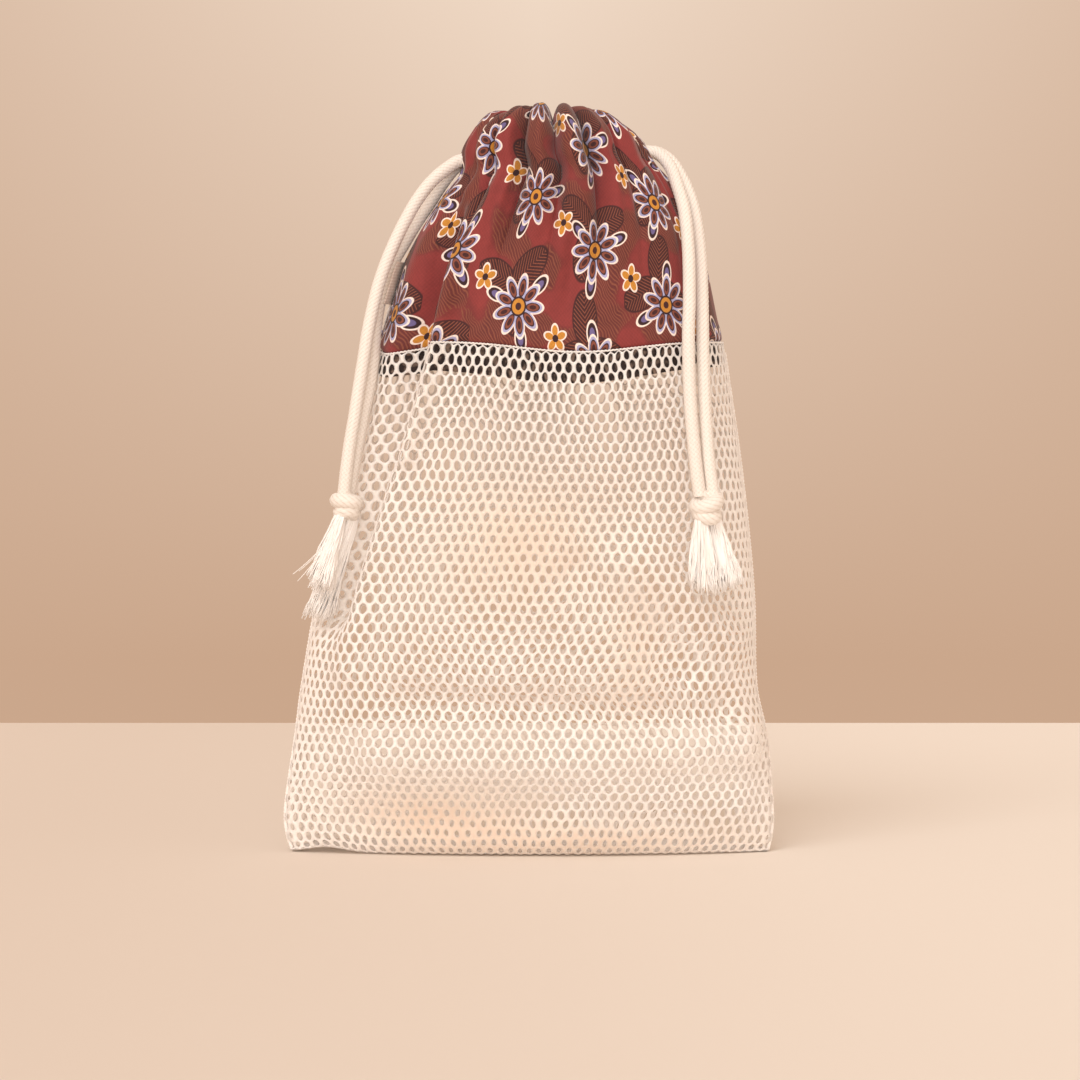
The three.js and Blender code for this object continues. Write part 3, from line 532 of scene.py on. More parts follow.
def pleat_values(rounds):
    """How far the pleats stand out and rise, at shares of the way round from the left side seam."""
    rows = [(at / 2, *values) for at, *values in PLEATS[FRONT]]
    rows += [(1 - at / 2, *values) for at, *values in PLEATS[BACK]]
    at, ridge, rise, valley, dip = np.array(rows).T
    after = np.searchsorted(at, rounds, side="right") % len(at)
    before = (after - 1) % len(at)
    t = ((rounds - at[before]) % 1) / ((at[after] - at[before]) % 1)
    near = np.where(t < 0.5, before, after)
    swell = np.abs(np.cos(math.pi * t)) ** PLEAT_ROUNDNESS
    out = valley[before] + (ridge[near] - valley[before]) * swell
    return out, dip[before] + (rise[near] - dip[before]) * swell


def small_gathers(rounds):
    """How far the small gathers stand out, at shares of the way round from the left side seam."""
    round_bag = 2 * math.pi * rounds
    drift = sum(share * np.sin(waves * round_bag + start) for share, waves, start in GATHER_DRIFT)
    depth = GATHER_MEAN + GATHER_SPREAD * np.sin(GATHER_WAVES * round_bag + GATHER_START)
    return depth * np.sin(2 * math.pi * GATHERS * (rounds + drift))


def allowance_row(panels, height):
    """A row of the allowance, which hangs inside the net."""
    row = np.concatenate([net_row(side, shares, height, 0) for side, shares in panels])
    along = np.gradient(row, axis=0)
    inward = np.column_stack([-along[:, 1], along[:, 0], 0 * along[:, 2]])
    return row + ALLOWANCE_INSET * inward / np.linalg.norm(inward, axis=1, keepdims=True)


def cotton_grid():
    """Points of the cotton in rows from its allowance to the hem, each row's way along the cloth, and the
    ways of the rows that it is made from."""
    half = COTTON_COLUMNS // 2
    panels = ((FRONT, np.linspace(0, 1, half, endpoint=False)), (BACK, np.linspace(1, 0, half + 1)))
    rounds = np.linspace(0, 1, COTTON_COLUMNS + 1)
    ridge, rise = pleat_values(rounds % 1)
    gather = small_gathers(rounds)
    outside = np.where(rounds < 0.5, FRONT_GATHER, BACK_GATHER)
    keys = [allowance_row(panels, height) for height in (ALLOWANCE_LOW, ALLOWANCE_HIGH)]
    keys[0][:, 2] += ALLOWANCE_SHORTER * np.cos(2 * math.pi * rounds) ** 2
    for number, section in enumerate(COTTON_SECTIONS):
        shape = {"left": section["mid"] - section["half"], "right": section["mid"] + section["half"],
                 "seam": 0, "depth": section["depth"], "blunt": COTTON_BLUNT, "root": COTTON_ROOT, "lip": 0}
        halves = [half_section(shape, side, shares) for side, shares in panels]
        points = np.concatenate([place for place, _ in halves])
        normals = np.concatenate([normal for _, normal in halves])
        folds = np.concatenate([fold_out(side, shares, section["z"]) for side, shares in panels])
        sags = np.concatenate([sag_at(side, shares, section["z"]) for side, shares in panels])
        out = folds * (1 - section["pleat"]) + ridge * section["pleat"]
        out += gather * section["gather"] * (outside if number < TURN_SECTION else INNER_GATHER)
        points = points + normals * out[:, None]
        across = (points[:, 0] - section["mid"]) / section["half"]
        height = section["z"] - sags - section["dip"] * across**2 - section["tilt"] * across
        keys.append(np.column_stack([points, height + rise * section["lift"]]))
    keys = np.array(keys)
    steps = np.linalg.norm(np.diff(keys, axis=0), axis=2).mean(axis=1)
    ways = np.concatenate([[0], np.cumsum(steps)])
    fine = [np.linspace(a, b, ROWS_BETWEEN, endpoint=False) for a, b in zip(ways, ways[1:])]
    fine = np.append(np.concatenate(fine), ways[-1])
    return through_rows(ways, keys, fine), fine, ways


def grid_faces(rows, columns):
    """Four-cornered faces of a grid of points."""
    j, i = np.meshgrid(np.arange(rows - 1), np.arange(columns - 1), indexing="ij")
    corner = j * columns + i
    faces = np.stack([corner, corner + 1, corner + columns + 1, corner + columns], axis=2)
    return faces.reshape(-1, 4).tolist()


cotton_points, cotton_ways, section_ways = cotton_grid()

# Plain-woven cotton with a reactive print: matt, with a fine grid of threads, slightly uneven in the dye.
# The print is a spaced floral: daisies with three leaves and small blossoms between them, over large veined
# leaves and patches of hatching. The allowance's wrong side is dull and linty, painted dark as painted shade.
BRICK, DARK_BRICK, RUST, EARTH = linear("#86312F"), linear("#652926"), linear("#824634"), linear("#401819")
MAROON, LILAC, VIOLET = linear("#30131A"), linear("#A9A8CC"), linear("#6C6090")
CREAM, OCHRE = linear("#F4E4DA"), linear("#C6862F")
# Painted shade: the allowance's wrong side is dark for the shadow inside the net, with lighter lint on it
SHADED_WRONG_SIDE, LINT = linear("#2E201D"), linear("#8C7667")
THREAD = 0.9  # mm between threads, twice the real spacing so that the weave shows
REPEAT = (40, 46)  # mm, of the half-drop layouts
LEAVES_AT, DAISIES_AT, BLOSSOMS_AT = (9, 31), (5, 40), (25, 28.5)  # where each layout starts
# Petals of each motif: how many, how far out, half length, half width
LARGE_LEAVES, DAISY_LEAVES = (3, 10.5, 11.5, 6.6), (3, 13.5, 4.8, 2.5)
DAISY_RAYS, DAISY_HEART = (9, 7.6, 5.0, 2.35), (1, 0, 3.4, 3.4)
BLOSSOM_RAYS, BLOSSOM_HEART = (5, 3.1, 2.7, 1.75), (1, 0, 1.5, 1.5)
VEIN_STEP, VEIN_SLANT, VEIN_END = 1.9, -1.1, 0.9  # mm between veins, their slant, share of the leaf they fill
HATCH = (2 * math.pi / 1.6, 2 * math.pi / 2.1, 0)  # turn of the hatching for each mm across and up the cloth
HATCH_SWAY, SWAY_LENGTH = (3.0, 3.0, 0), 5.0  # mm
PATCH_SIZE, DYE_SIZE, LINT_SIZE = 26.0, 9.0, 3.5  # mm
PATCH_EDGE = 0.5
EDGE_BLUR = 0.03  # the ink's edges are this soft
FAR = 3.0  # takes a wave out of reach of its ink
SHADED_WRONG_SIDE_BELOW = 2.6  # mm below the seam, where the wrong side is turned out and painted dark as painted shade
printed_cotton, tree, shader = new_material("printed_plain_weave_cotton")
cloth = add_node(tree, "ShaderNodeAttribute", {}, output=1, attribute_name="cloth_mm")


def half_drop(place, start):
    """A place measured from the middle of its cell in a half-drop layout, each cell turned by chance."""
    cell = (*REPEAT, 0)
    per_cell = (1 / REPEAT[0], 1 / REPEAT[1], 0)
    moved = add_node(tree, "ShaderNodeVectorMath", {0: place, 1: (*start, 0)}, operation="ADD")
    cells = add_node(tree, "ShaderNodeVectorMath", {0: moved, 1: per_cell}, operation="MULTIPLY")
    parts = add_node(tree, "ShaderNodeSeparateXYZ", {0: cells}).node.outputs
    column = add_node(tree, "ShaderNodeMath", {0: parts[0]}, operation="FLOOR")
    drop = add_node(tree, "ShaderNodeMath", {0: column, 1: 0.5}, operation="MULTIPLY")
    up = add_node(tree, "ShaderNodeMath", {0: parts[1], 1: drop}, operation="ADD")
    row = add_node(tree, "ShaderNodeMath", {0: up}, operation="FLOOR")
    corner = add_node(tree, "ShaderNodeCombineXYZ", {0: column, 1: row})
    inside = add_node(tree, "ShaderNodeCombineXYZ", {0: parts[0], 1: up})
    within = add_node(tree, "ShaderNodeVectorMath", {0: inside, 1: corner}, operation="SUBTRACT")
    middle = add_node(tree, "ShaderNodeVectorMath", {0: within, 1: (0.5, 0.5, 0)}, operation="SUBTRACT")
    local = add_node(tree, "ShaderNodeVectorMath", {0: middle, 1: cell}, operation="MULTIPLY")
    chance = add_node(tree, "ShaderNodeTexWhiteNoise", {"Vector": corner}, noise_dimensions="3D")
    turn = add_node(tree, "ShaderNodeMath", {0: chance, 1: 2 * math.pi}, operation="MULTIPLY")
    return add_node(tree, "ShaderNodeVectorRotate", {"Vector": local, "Angle": turn}, rotation_type="Z_AXIS")


def petals(place, count, reach, half_length, half_width):
    """How far a place is from a ring of oval petals, 1 on their edges, and its ways along and across one."""
    parts = add_node(tree, "ShaderNodeSeparateXYZ", {0: place}).node.outputs
    turn = add_node(tree, "ShaderNodeMath", {0: parts[1], 1: parts[0]}, operation="ARCTAN2")
    folded = add_node(tree, "ShaderNodeMath", {0: turn, 1: math.pi / count}, operation="PINGPONG")
    radius = add_node(tree, "ShaderNodeVectorMath", {0: place}, output=1, operation="LENGTH")
    cosine = add_node(tree, "ShaderNodeMath", {0: folded}, operation="COSINE")
    sine = add_node(tree, "ShaderNodeMath", {0: folded}, operation="SINE")
    along = add_node(tree, "ShaderNodeMath", {0: radius, 1: cosine}, operation="MULTIPLY")
    aside = add_node(tree, "ShaderNodeMath", {0: radius, 1: sine}, operation="MULTIPLY")
    local = add_node(tree, "ShaderNodeCombineXYZ", {0: along, 1: aside})
    moved = add_node(tree, "ShaderNodeVectorMath", {0: local, 1: (reach, 0, 0)}, operation="SUBTRACT")
    scaled = add_node(tree, "ShaderNodeVectorMath", {0: moved, 1: (1 / half_length, 1 / half_width, 0)},
                      operation="MULTIPLY")
    distance = add_node(tree, "ShaderNodeVectorMath", {0: scaled}, output=1, operation="LENGTH")
    return distance, along, aside


def painted(below, distance, edge, ink):
    """Prints an ink over a colour wherever a distance is under its edge."""
    cover = add_node(tree, "ShaderNodeMapRange", {"Value": distance, "From Min": edge + EDGE_BLUR,
                                                  "From Max": edge - EDGE_BLUR})
    return add_node(tree, "ShaderNodeMix", {0: cover, 6: below, 7: ink}, output=2, data_type="RGBA")


large_leaf, along, aside = petals(half_drop(cloth, LEAVES_AT), *LARGE_LEAVES)
slant = add_node(tree, "ShaderNodeMath", {0: aside, 1: VEIN_SLANT, 2: along}, operation="MULTIPLY_ADD")
phase = add_node(tree, "ShaderNodeMath", {0: slant, 1: 2 * math.pi / VEIN_STEP}, operation="MULTIPLY")
veins = add_node(tree, "ShaderNodeMath", {0: phase}, operation="SINE")
outside = add_node(tree, "ShaderNodeMath", {0: large_leaf, 1: VEIN_END}, operation="GREATER_THAN")
veins = add_node(tree, "ShaderNodeMath", {0: outside, 1: FAR, 2: veins}, operation="MULTIPLY_ADD")
daisy = half_drop(cloth, DAISIES_AT)
leaf, ray, heart = (petals(daisy, *motif)[0] for motif in (DAISY_LEAVES, DAISY_RAYS, DAISY_HEART))
blossom = half_drop(cloth, BLOSSOMS_AT)
small_ray, small_heart = (petals(blossom, *motif)[0] for motif in (BLOSSOM_RAYS, BLOSSOM_HEART))
patch = add_node(tree, "ShaderNodeTexNoise", {"Vector": cloth, "Scale": 1 / PATCH_SIZE, "Detail": 1.0})
sway = add_node(tree, "ShaderNodeTexNoise", {"Vector": cloth, "Scale": 1 / SWAY_LENGTH, "Detail": 0.0},
                output=1)
swayed = add_node(tree, "ShaderNodeVectorMath", {0: sway, 1: HATCH_SWAY, 2: cloth}, operation="MULTIPLY_ADD")
way = add_node(tree, "ShaderNodeVectorMath", {0: swayed, 1: HATCH}, output=1, operation="DOT_PRODUCT")
hatch = add_node(tree, "ShaderNodeMath", {0: way}, operation="SINE")
bare = add_node(tree, "ShaderNodeMath", {0: patch, 1: PATCH_EDGE}, operation="LESS_THAN")
hatch = add_node(tree, "ShaderNodeMath", {0: bare, 1: FAR, 2: hatch}, operation="MULTIPLY_ADD")
unpatched = add_node(tree, "ShaderNodeMath", {0: 1.0, 1: patch}, operation="SUBTRACT")
# Painted shade on the allowance below the seam, flecked with lighter lint
lint = add_node(tree, "ShaderNodeTexNoise", {"Vector": cloth, "Scale": 1 / LINT_SIZE, "Detail": 1.0})
linty = add_node(tree, "ShaderNodeMapRange", {"Value": lint, "From Min": 0.5, "From Max": 0.68})
shaded_wrong_side = add_node(tree, "ShaderNodeMix", {0: linty, 6: SHADED_WRONG_SIDE, 7: LINT}, output=2, data_type="RGBA")
up_cloth = add_node(tree, "ShaderNodeSeparateXYZ", {0: cloth}).node.outputs[1]

# The inks in the order that they are printed: what each one follows, its edge and its colour
ink = BRICK
for distance, edge, colour in [
    (unpatched, PATCH_EDGE, DARK_BRICK), (hatch, -0.35, RUST), (large_leaf, 1.0, EARTH), (veins, -0.55, RUST),
    (leaf, 1.2, CREAM), (leaf, 0.95, MAROON), (leaf, 0.55, VIOLET),
    (ray, 1.2, CREAM), (ray, 1.0, LILAC), (ray, 0.76, MAROON), (ray, 0.62, RUST), (ray, 0.36, EARTH),
    (heart, 1.2, MAROON), (heart, 0.95, OCHRE), (heart, 0.45, EARTH),
    (small_ray, 1.15, CREAM), (small_ray, 0.82, OCHRE), (small_heart, 1.0, MAROON),
    # the allowance below the seam: its wrong side, painted dark as painted shade
    (up_cloth, section_ways[2] - SHADED_WRONG_SIDE_BELOW, shaded_wrong_side),
]:
    ink = painted(ink, distance, edge, colour)

dye = add_node(tree, "ShaderNodeTexNoise",
               {"Vector": cloth, "Scale": 1 / DYE_SIZE, "Detail": 4.0, "Roughness": 0.7})
depth = add_node(tree, "ShaderNodeMapRange",
                 {"Value": dye, "From Min": 0.3, "From Max": 0.7, "To Min": 0.86, "To Max": 1.08})
threads = add_node(tree, "ShaderNodeVectorMath", {0: cloth, 1: (math.pi / THREAD, math.pi / THREAD, 0)},
                   operation="MULTIPLY")
waves = add_node(tree, "ShaderNodeVectorMath", {0: threads}, operation="SINE")
ways = add_node(tree, "ShaderNodeSeparateXYZ", {0: waves}).node.outputs
weave = add_node(tree, "ShaderNodeMath", {0: ways[0], 1: ways[1]}, operation="MULTIPLY")
lit = add_node(tree, "ShaderNodeMath", {0: weave, 1: 0.07, 2: depth}, operation="MULTIPLY_ADD")
tone = add_node(tree, "ShaderNodeVectorMath", {0: ink, 3: lit}, operation="SCALE")
tree.links.new(tone, shader.inputs["Base Color"])
shader.inputs["Roughness"].default_value = 0.82
shader.inputs["Sheen Weight"].default_value = 0.15
bump = add_node(tree, "ShaderNodeBump", {"Strength": 0.4, "Distance": 0.12 * MM, "Height": weave})
tree.links.new(bump, shader.inputs["Normal"])

rows, columns = cotton_points.shape[:2]
cotton_top = add_piece("printed_cotton_top", cotton_points.reshape(-1, 3), grid_faces(rows, columns),
                       printed_cotton)
flat = cotton_top.data.attributes.new("cloth_mm", "FLOAT_VECTOR", "POINT")
across, up = np.meshgrid(np.linspace(0, 2 * PANEL_WIDTH, columns), cotton_ways)
flat.data.foreach_set("vector", np.stack([across, up, 0 * up], axis=2).astype(np.float32).ravel())
thickness = cotton_top.modifiers.new("cloth", "SOLIDIFY")
thickness.thickness = COTTON_THICKNESS * MM
thickness.offset = 0
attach(cotton_top, "root")
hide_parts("cotton_top")

# Drawcords: two braided cotton cords run round inside the casing, one drawn out at each side.
# Their hidden runs keep the solids' shape; the four free ends hang down to a knot on each side.
CORD_DIAMETER = 5.4
CORD_STEP, CORD_SIDES = 0.5, 40
BRAID_CARRIERS = 8
BRAID_LAY = 2.0  # mm of cord to each crossing
BRAID_RELIEF = 0.42
BRAID_MEAN = 0.75  # the relief that lies on the cord's own radius
STRAND_ROUND = 0.6  # under 1 makes flat strands with narrow grooves
CROSSING = 0.45  # share of a strand's height that it loses where the other set leaves it
CORD_ROUTES = {
    "cord_left_front": [
        (-26.6, -2.9, 296.2), (-31.7, -3.6, 294.4), (-40.7, -5.5, 287.2), (-47.2, -7.5, 279),
        (-52.6, -9.5, 269.6), (-57, -11.5, 260.4), (-60.8, -13.5, 251.2), (-64, -15, 241.5),
        (-66.4, -16.5, 231.6), (-68.4, -18, 221.5), (-70.1, -19.4, 210.5), (-71.9, -20.8, 199),
        (-73.7, -22.3, 187), (-75.5, -23.7, 176), (-77, -24.9, 165), (-78.4, -25.6, 152.5),
    ],
    "cord_left_back": [
        (-26.6, 2.9, 295.8), (-31.8, 3.2, 292.7), (-37.4, 3.6, 285.8), (-42.7, 3, 277.6),
        (-48.4, 1.4, 269), (-53.6, -1, 260), (-59, -2.8, 250.6), (-62.6, -4.6, 241),
        (-64.6, -6.8, 231), (-65.8, -9.2, 220.6), (-66.6, -11.8, 209.8), (-68.1, -14.2, 198.6),
        (-70.4, -16.2, 187), (-72.6, -17.6, 175.6), (-74.6, -18.6, 164.8), (-76.4, -19.4, 152.5),
    ],
    "cord_right_front": [
        (48.9, -2.9, 299.3), (54.8, -3.2, 298.5), (60.1, -7.8, 292.6), (63, -14.2, 284),
        (65.4, -20, 274.8), (66.6, -24.8, 265), (67.2, -28.4, 254.6), (67.4, -31.2, 243.8),
        (67.3, -33.4, 232.6), (66.9, -35.2, 221.4), (67, -36.6, 209.6), (67.3, -37.6, 197.8),
        (68, -38.4, 186), (69, -39, 174.6), (70.2, -39.6, 163.4), (71.7, -40, 152.5),
    ],
    "cord_right_back": [
        (48.9, 2.9, 299.3), (54.6, 2.7, 299.3), (60.5, 0.3, 295.6), (64.9, -4.6, 288.6),
        (68.6, -9.2, 279.8), (70.9, -13.8, 269.8), (72.1, -18, 259.4), (72.8, -21.8, 248.2),
        (73.1, -25, 236.6), (73.2, -27.8, 225), (73.3, -30.2, 213), (73.6, -32.4, 200.8),
        (74, -34.4, 188.6), (74.8, -36.2, 176.4), (75.8, -37.8, 164.4), (77.3, -39.2, 152.5),
    ],
}

# Soft braided cotton, off-white and matt, with painted shade a little darker in the braid's hollows than on
# the crossings.
CORD_FIBRE = 0.7  # mm, coarser than the real fibre so that it shows
braided_cotton, tree, shader = new_material("braided_cotton_cord")
place = add_node(tree, "ShaderNodeTexCoord", {}, output=3)
fibre = add_node(tree, "ShaderNodeTexNoise", {"Vector": place, "Scale": 1 / (CORD_FIBRE * MM), "Detail": 3.0})
# Painted shade: the deeper in the braid, the darker the colour
braid_shade = add_node(tree, "ShaderNodeAttribute", {}, output=2, attribute_name="braid_shade")
deep = add_node(tree, "ShaderNodeMapRange", {"Value": braid_shade, "From Min": 0.25, "From Max": 0.9})
shade = add_node(tree, "ShaderNodeMix", {0: deep, 6: linear("#EFE8E0"), 7: linear("#D8CCBF")},
                 output=2, data_type="RGBA")
tree.links.new(shade, shader.inputs["Base Color"])
shader.inputs["Roughness"].default_value = 0.9
shader.inputs["Sheen Weight"].default_value = 0.2
bump = add_node(tree, "ShaderNodeBump", {"Strength": 0.4, "Distance": 0.2 * MM, "Height": fibre})
tree.links.new(bump, shader.inputs["Normal"])


def braid(way, turn):
    """Relief of a braid: two sets of strands crossing over and under each other round the cord."""
    first = BRAID_CARRIERS * turn / (2 * math.pi) + way / BRAID_LAY
    second = BRAID_CARRIERS * turn / (2 * math.pi) - way / BRAID_LAY
    swell_first = np.sin(math.pi * (first % 1)) ** STRAND_ROUND
    swell_second = np.sin(math.pi * (second % 1)) ** STRAND_ROUND
    is_over = (np.floor(first) + np.floor(second)) % 2 == 0
    upper = np.where(is_over, swell_first, swell_second)
    lower = np.where(is_over, swell_second, swell_first)
    return BRAID_RELIEF * (upper * (1 - CROSSING + CROSSING * lower) - BRAID_MEAN)


def braided_tube(line, diameter):
    """A braided tube along a line, and how deep in the braid each point is, from 0 to 1."""
    points, faces = tube(line, diameter / 2, CORD_SIDES, braid)
    away = np.linalg.norm(points[:-2].reshape(len(line), CORD_SIDES, 3) - line[:, None, :], axis=2)
    depths = (diameter / 2 + (1 - BRAID_MEAN) * BRAID_RELIEF - away) / BRAID_RELIEF
    return points, faces, np.append(depths.ravel(), (0, 0))


def add_cord(name, tubes):
    """A mesh of braided tubes, which keeps how deep in the braid each of its points is, for its painted
    shade.
    """
    points, faces = joined([(tube_points, tube_faces) for tube_points, tube_faces, _ in tubes])
    piece = add_piece(name, points, faces, braided_cotton)
    braid_shade = piece.data.attributes.new("braid_shade", "FLOAT", "POINT")
    braid_shade.data.foreach_set("value", np.concatenate([depths for _, _, depths in tubes]).astype(np.float32))
    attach(piece, "root")
    return piece


for name in ("casing_cord_left", "casing_cord_right"):
    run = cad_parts[name]
    run.data.materials.clear()
    run.data.materials.append(braided_cotton)

cords, cord_lines = {}, {}
for name, route in CORD_ROUTES.items():
    cord_lines[name] = smooth_line(route, CORD_STEP)
    cords[name] = add_cord(f"braided_{name}", [braided_tube(cord_lines[name], CORD_DIAMETER)])
    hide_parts(name)

# Casing openings: a slit is left in the side seam for each pair of cord ends, and its edge is overcast
# with dark red thread.
OPENING_REACH = (6.4, 3.5)  # half of its length and of its height
OPENING_AT = {"left": 1, "right": 0}  # steps along the cords, where they leave the cloth
OPENING_AHEAD = 3  # steps from there that show which way the cords go
OPENING_POINTS, OVERCAST_SIDES = 49, 10
OVERCAST_THICKNESS = 1.0

# Polyester sewing thread: dark red with a slight gloss.
thread, tree, shader = new_material("dark_red_sewing_thread")
shader.inputs["Base Color"].default_value = linear("#6A2624")
shader.inputs["Roughness"].default_value = 0.5

turns = np.linspace(0, 2 * math.pi, OPENING_POINTS)
for side, step in OPENING_AT.items():
    pair = [cord_lines[f"cord_{side}_{which}"][[step, step + OPENING_AHEAD]] for which in ("front", "back")]
    middle, ahead = np.mean(pair, axis=0)
    upright = np.cross(ahead - middle, (0, 1, 0))
    upright /= np.linalg.norm(upright)
    ring = np.outer(np.cos(turns), (0, OPENING_REACH[0], 0))
    ring += np.outer(np.sin(turns), OPENING_REACH[1] * upright)
    points, faces = tube(middle + ring, OVERCAST_THICKNESS / 2, OVERCAST_SIDES, overlock)
    piece = add_piece(f"casing_opening_{side}", points, faces, thread)
    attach(piece, "root")

# Knots: each pair of cord ends is tied in one overhand knot, pulled tight, so that the two cords lie
# one over the other as full wraps, with the standing ends going in at the top and the tails out below.
KNOTS = {"left": (-77.2, -22.8, 147.7), "right": (74.5, -39.6, 147.7)}
KNOT_TURNS = (60, 100)  # where each wrap begins, in degrees
KNOT_SWEEP, KNOT_POINTS = 400, 30  # degrees that a wrap goes round, and points in it
KNOT_FALL = 0.6  # a wrap begins this far over its height and ends as far under it
KNOT_SWELL = 1.2  # a tied cord bulges beyond its own thickness
# For the upper and the lower wrap: radius, height over the knot's middle, lean in degrees down to the right,
# and how far it dips in front
KNOT_WRAPS = {
    "left": [(4.0, 2.2, 5, -0.4), (2.6, -2.5, -4, -0.8)],
    "right": [(4.1, 2.2, -20, 1.2), (3.1, -2.6, 8, 1.2)],
}
# Tassels under each knot: where a cord's tail leaves it, the tip of its tassel, and how far that spreads
TASSELS = {
    "left": {"outer": ((-79.4, -25.4, 144.5), (-88, -30, 114), 4.4),
             "inner": ((-74.6, -20.6, 144.5), (-90, -17.5, 100), 3.6)},
    "right": {"inner": ((71.8, -41, 144.5), (73.8, -44.5, 114), 4),
              "outer": ((77, -37.4, 144.5), (83.5, -39, 115), 3.8)},
}


def knot_wrap(centre, start, tail, first_turn, radius, rise, lean, dip):
    """One cord's way through a knot: in from the top, once round the outside, and out below."""
    turns = np.radians(np.linspace(first_turn, first_turn + KNOT_SWEEP, KNOT_POINTS))
    x = radius * np.cos(turns)
    y = radius * np.sin(turns)
    fall = np.linspace(KNOT_FALL, -KNOT_FALL, KNOT_POINTS)
    z = rise - math.tan(math.radians(lean)) * x + dip * np.sin(turns) + fall
    ring = np.column_stack([x, y, z]) + centre
    enter = np.array([start, 0.5 * np.array(start) + 0.5 * ring[0]])
    leave = np.array([0.5 * np.array(tail) + 0.5 * ring[-1], tail])
    return np.concatenate([enter, ring, leave])


for side, centre in KNOTS.items():
    starts = [CORD_ROUTES[f"cord_{side}_{which}"][-1] for which in ("front", "back")]
    tails = [top for top, _, _ in TASSELS[side].values()]
    tubes = []
    for start, tail, turn, shape in zip(starts, tails, KNOT_TURNS, KNOT_WRAPS[side]):
        wrap = smooth_line(knot_wrap(np.array(centre), start, tail, turn, *shape), CORD_STEP)
        tubes.append(braided_tube(wrap, KNOT_SWELL * CORD_DIAMETER))
    add_cord(f"overhand_knot_{side}", tubes)
    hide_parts(f"knot_{side}")

# Tassels: below its knot each cord is left unbraided, and its cotton yarns fall open in locks.
# They are cut off a little unevenly, and fray at their ends.
LOCKS, LOCK_YARNS = 8, 26
LOCK_SCATTER = 0.4  # share of the step between locks that each may be turned by
LOCK_OUT = (0.55, 0.45)  # least share of the spread, and what chance adds
LOCK_LENGTH = (0.88, 0.14)  # least share of the tassel's length, and what chance adds
LOCK_BEND = 0.9
LOCK_TOP, LOCK_SPREAD, LOCK_OPENING = 1.8, 1.4, 0.9  # distance apart at the knot, share of the spread, curve
LOCK_RADIUS, LOCK_SWELL = 0.9, 1.0  # at the knot, and how much more at the end
YARN_RADIUS, YARN_TAPER = 0.38, 0.3
YARN_TURN = 1.5  # least turn of a yarn round its lock
YARN_WAVE, YARN_WAVES = 0.55, 1.2  # how far a yarn waves, and how often
YARN_CUT = 0.03  # how unevenly the yarns are cut
YARN_POINTS, YARN_SIDES = 12, 4
CORE_RADIUS, CORE_SPREAD, CORE_WITHIN = 1.7, 1.1, 1.2  # the yarns inside, as one body that fills the tassel
CORE_LENGTH, CORE_CLOSES, CORE_TIP, CORE_SIDES = 0.93, 14.0, 0.3, 12
STRAYS = {"tassel_left_outer": 3, "tassel_right_outer": 2}
STRAY_WAYS = {"left": (-1.1, -0.25, 0.05), "right": (0.6, -0.4, 0.1)}
STRAY_SCATTER, STRAY_LENGTH, STRAY_CURVE, STRAY_THIN = 0.12, 0.85, 2.2, 0.6
STRAY_REACH = (8, 5)  # least reach from the tassel, and what chance adds

# Loose cotton fibre, combed open: whiter and softer than the braid, with a faint bloom of light on its edges.
frayed_cotton, tree, shader = new_material("frayed_cotton_fibre")
shader.inputs["Base Color"].default_value = linear("#FAF6F2")
shader.inputs["Roughness"].default_value = 0.95
shader.inputs["Sheen Weight"].default_value = 0.3


